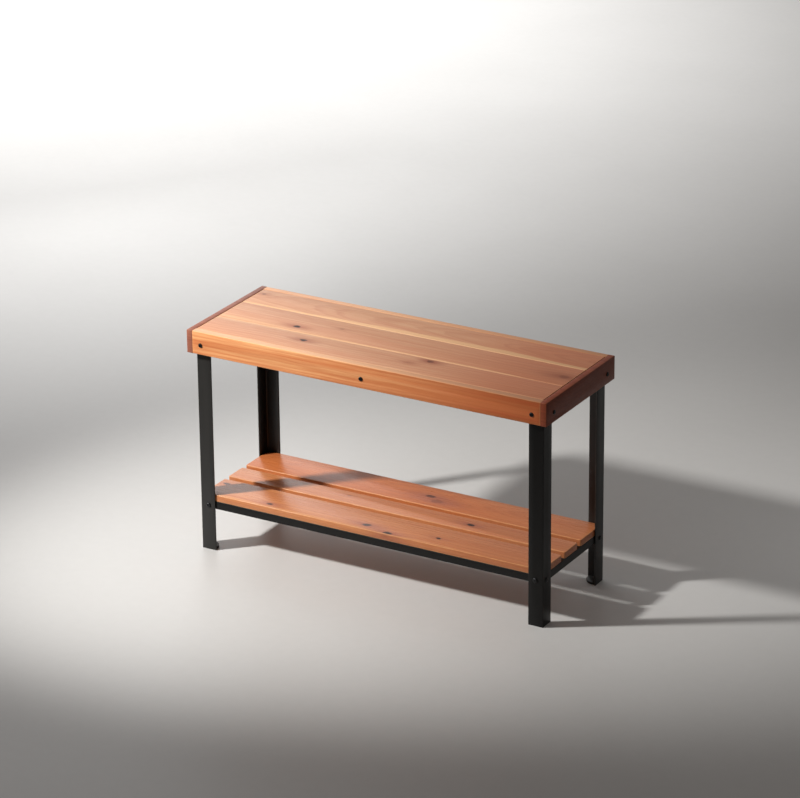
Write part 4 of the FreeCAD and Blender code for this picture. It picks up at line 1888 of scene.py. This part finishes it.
@dataclass
class Studio:
    """A plain pale floor, a soft key light from the front left, and the camera."""

    floor_half: float = 30.0
    floor_deep: Colour = (0.515, 0.508, 0.496)
    floor_pale: Colour = (0.605, 0.598, 0.586)
    key_from: Vector = at(-1.73, -1.45, 1.90)
    key_aim: Vector = at(-0.245, -0.11, 0.25)
    key_radius: float = 0.10
    key_colour: Colour = (1.0, 0.985, 0.96)
    key_cone: float = 38.5
    key_power: float = 458.0
    panel_from: Vector = at(-1.72, 1.20, 1.05)
    panel_aim: Vector = at(-0.30, 0.0, 0.45)
    panel_size: tuple[float, float] = (1.6, 1.5)
    panel_power: float = 10.5
    wash_from: Vector = at(-3.4, 3.6, 4.2)
    wash_aim: Vector = at(-2.6, 2.9, 0.0)
    wash_cone: float = 70.0
    wash_power: float = 1750.0
    wash_radius: float = 0.40
    side_from: Vector = at(1.7, 1.7, 2.0)
    side_aim: Vector = at(0.85, 0.50, 0.0)
    side_cone: float = 26.0
    side_power: float = 55.0
    room_dim: Colour = (0.105, 0.090, 0.080)
    room_lit: Colour = (0.30, 0.295, 0.29)
    camera_place: Vector = at(3.54561, -6.06779, 3.21867)
    yaw: float = 30.285
    pitch: float = -22.183
    roll: float = -0.554
    lens: float = 174.74
    sensor: float = 36.0

    def build(self) -> None:
        """Lay the floor and set the lights, the surroundings and the camera."""
        self.floor()
        key = self.beam("key", self.key_from, self.key_aim, self.key_cone, self.key_power)
        key.shadow_soft_size = self.key_radius
        key.color = self.key_colour
        self.panel()
        self.beam("far_wash", self.wash_from, self.wash_aim, self.wash_cone, self.wash_power)
        self.beam("side_wash", self.side_from, self.side_aim, self.side_cone, self.side_power)
        self.surroundings()
        self.camera()
        bpy.context.scene.view_settings.view_transform = "Standard"

    def floor(self) -> None:
        """Lay the floor."""
        deselect_all()
        bpy.ops.mesh.primitive_plane_add(size=2 * self.floor_half, location=(0, 0, 0))
        slab = bpy.context.object
        slab.name = "studio_floor"
        settle(slab)
        desk, surface = new_material("pale_floor")
        here = place_of(desk)
        cloud = desk.grain(here, (1.3, 1.3, 1.3), 5.0, 0.6)
        grit = desk.grain(here, (45.0, 45.0, 45.0), 3.0, 0.5)
        blend = desk.plus(desk.times(cloud, 0.7), desk.times(grit, 0.3))
        colour = desk.tint(blend, self.floor_deep, self.floor_pale)
        desk.feed(surface.inputs["Base Color"], colour)
        desk.feed(surface.inputs["Roughness"], desk.spread(cloud, 0.38, 0.5))
        dress(slab, bpy.data.materials["pale_floor"])

    def panel(self) -> None:
        """Stand a soft panel behind the bench to the left."""
        lamp = bpy.data.lights.new("panel", "AREA")
        lamp.shape = "RECTANGLE"
        lamp.size, lamp.size_y = self.panel_size
        lamp.energy = self.panel_power
        self.hang(lamp, self.panel_from, self.panel_aim)

    def beam(self, name: str, place: Vector, aim: Vector, cone: float, power: float) -> bpy.types.Light:
        """Hang a lamp with a round soft beam.

        Args:
            name: The lamp's name.
            place: Where it hangs.
            aim: The point that it is aimed at.
            cone: The angle of its beam in degrees.
            power: Its power in watts.

        Returns:
            The lamp.
        """
        lamp = bpy.data.lights.new(name, "SPOT")
        lamp.spot_size = math.radians(cone)
        lamp.spot_blend = 1.0
        lamp.shadow_soft_size = self.wash_radius
        lamp.energy = power
        self.hang(lamp, place, aim)
        return lamp

    @staticmethod
    def hang(lamp: bpy.types.Light, place: Vector, aim: Vector) -> None:
        """Put a light in its place.

        Args:
            lamp: The light.
            place: Where it hangs.
            aim: The point that it faces.
        """
        holder = bpy.data.objects.new(f"{lamp.name}_light", lamp)
        bpy.context.scene.collection.objects.link(holder)
        holder.location = place
        holder.rotation_euler = (aim - place).to_track_quat("-Z", "Y").to_euler()
        holder.visible_camera = False

    def surroundings(self) -> None:
        """Light the room evenly, brighter to the left and behind than to the right."""
        world = bpy.data.worlds.new("soft_room")
        world.use_nodes = True
        desk = Desk(world.node_tree)
        way = desk.add("TexCoord", {}).outputs["Generated"]
        x, y, _ = desk.split(way)
        lit = desk.plus(desk.times(x, -0.5), desk.times(y, 0.25))
        lit = desk.smooth(lit, -0.45, 0.6)
        colour = desk.tint(lit, self.room_dim, self.room_lit)
        background = world.node_tree.nodes["Background"]
        desk.feed(background.inputs["Color"], colour)
        bpy.context.scene.world = world

    def camera(self) -> None:
        """Set the camera, from its yaw, pitch and roll in degrees."""
        yaw, pitch, roll = (math.radians(angle) for angle in (self.yaw, self.pitch, self.roll))
        ahead = Vector((-math.sin(yaw) * math.cos(pitch), math.cos(yaw) * math.cos(pitch), math.sin(pitch)))
        right = ahead.cross(Axis.Z.value).normalized()
        up = right.cross(ahead)
        level_right = right * math.cos(roll) + up * math.sin(roll)
        level_up = up * math.cos(roll) - right * math.sin(roll)
        lens = bpy.data.cameras.new("view")
        lens.lens = self.lens
        lens.sensor_width = self.sensor
        lens.sensor_fit = "HORIZONTAL"
        lens.clip_end = 100.0
        eye = bpy.data.objects.new("view_camera", lens)
        bpy.context.scene.collection.objects.link(eye)
        turn = Matrix((level_right, level_up, -ahead)).transposed().to_4x4()
        eye.matrix_world = Matrix.Translation(self.camera_place) @ turn
        bpy.context.scene.camera = eye


def main() -> None:
    """Build every sub-assembly in order."""
    logging.basicConfig(level=logging.INFO, format="%(name)s: %(message)s")
    Studio().build()
    for assembly in (BoardFrame(), Seat(), Legs(), Shelf(), Hardware()):
        assembly.build()
        LOG.info("%s: %d pieces", type(assembly).__name__, len(assembly.pieces))
    deselect_all()


if __name__ == "__main__":
    main()
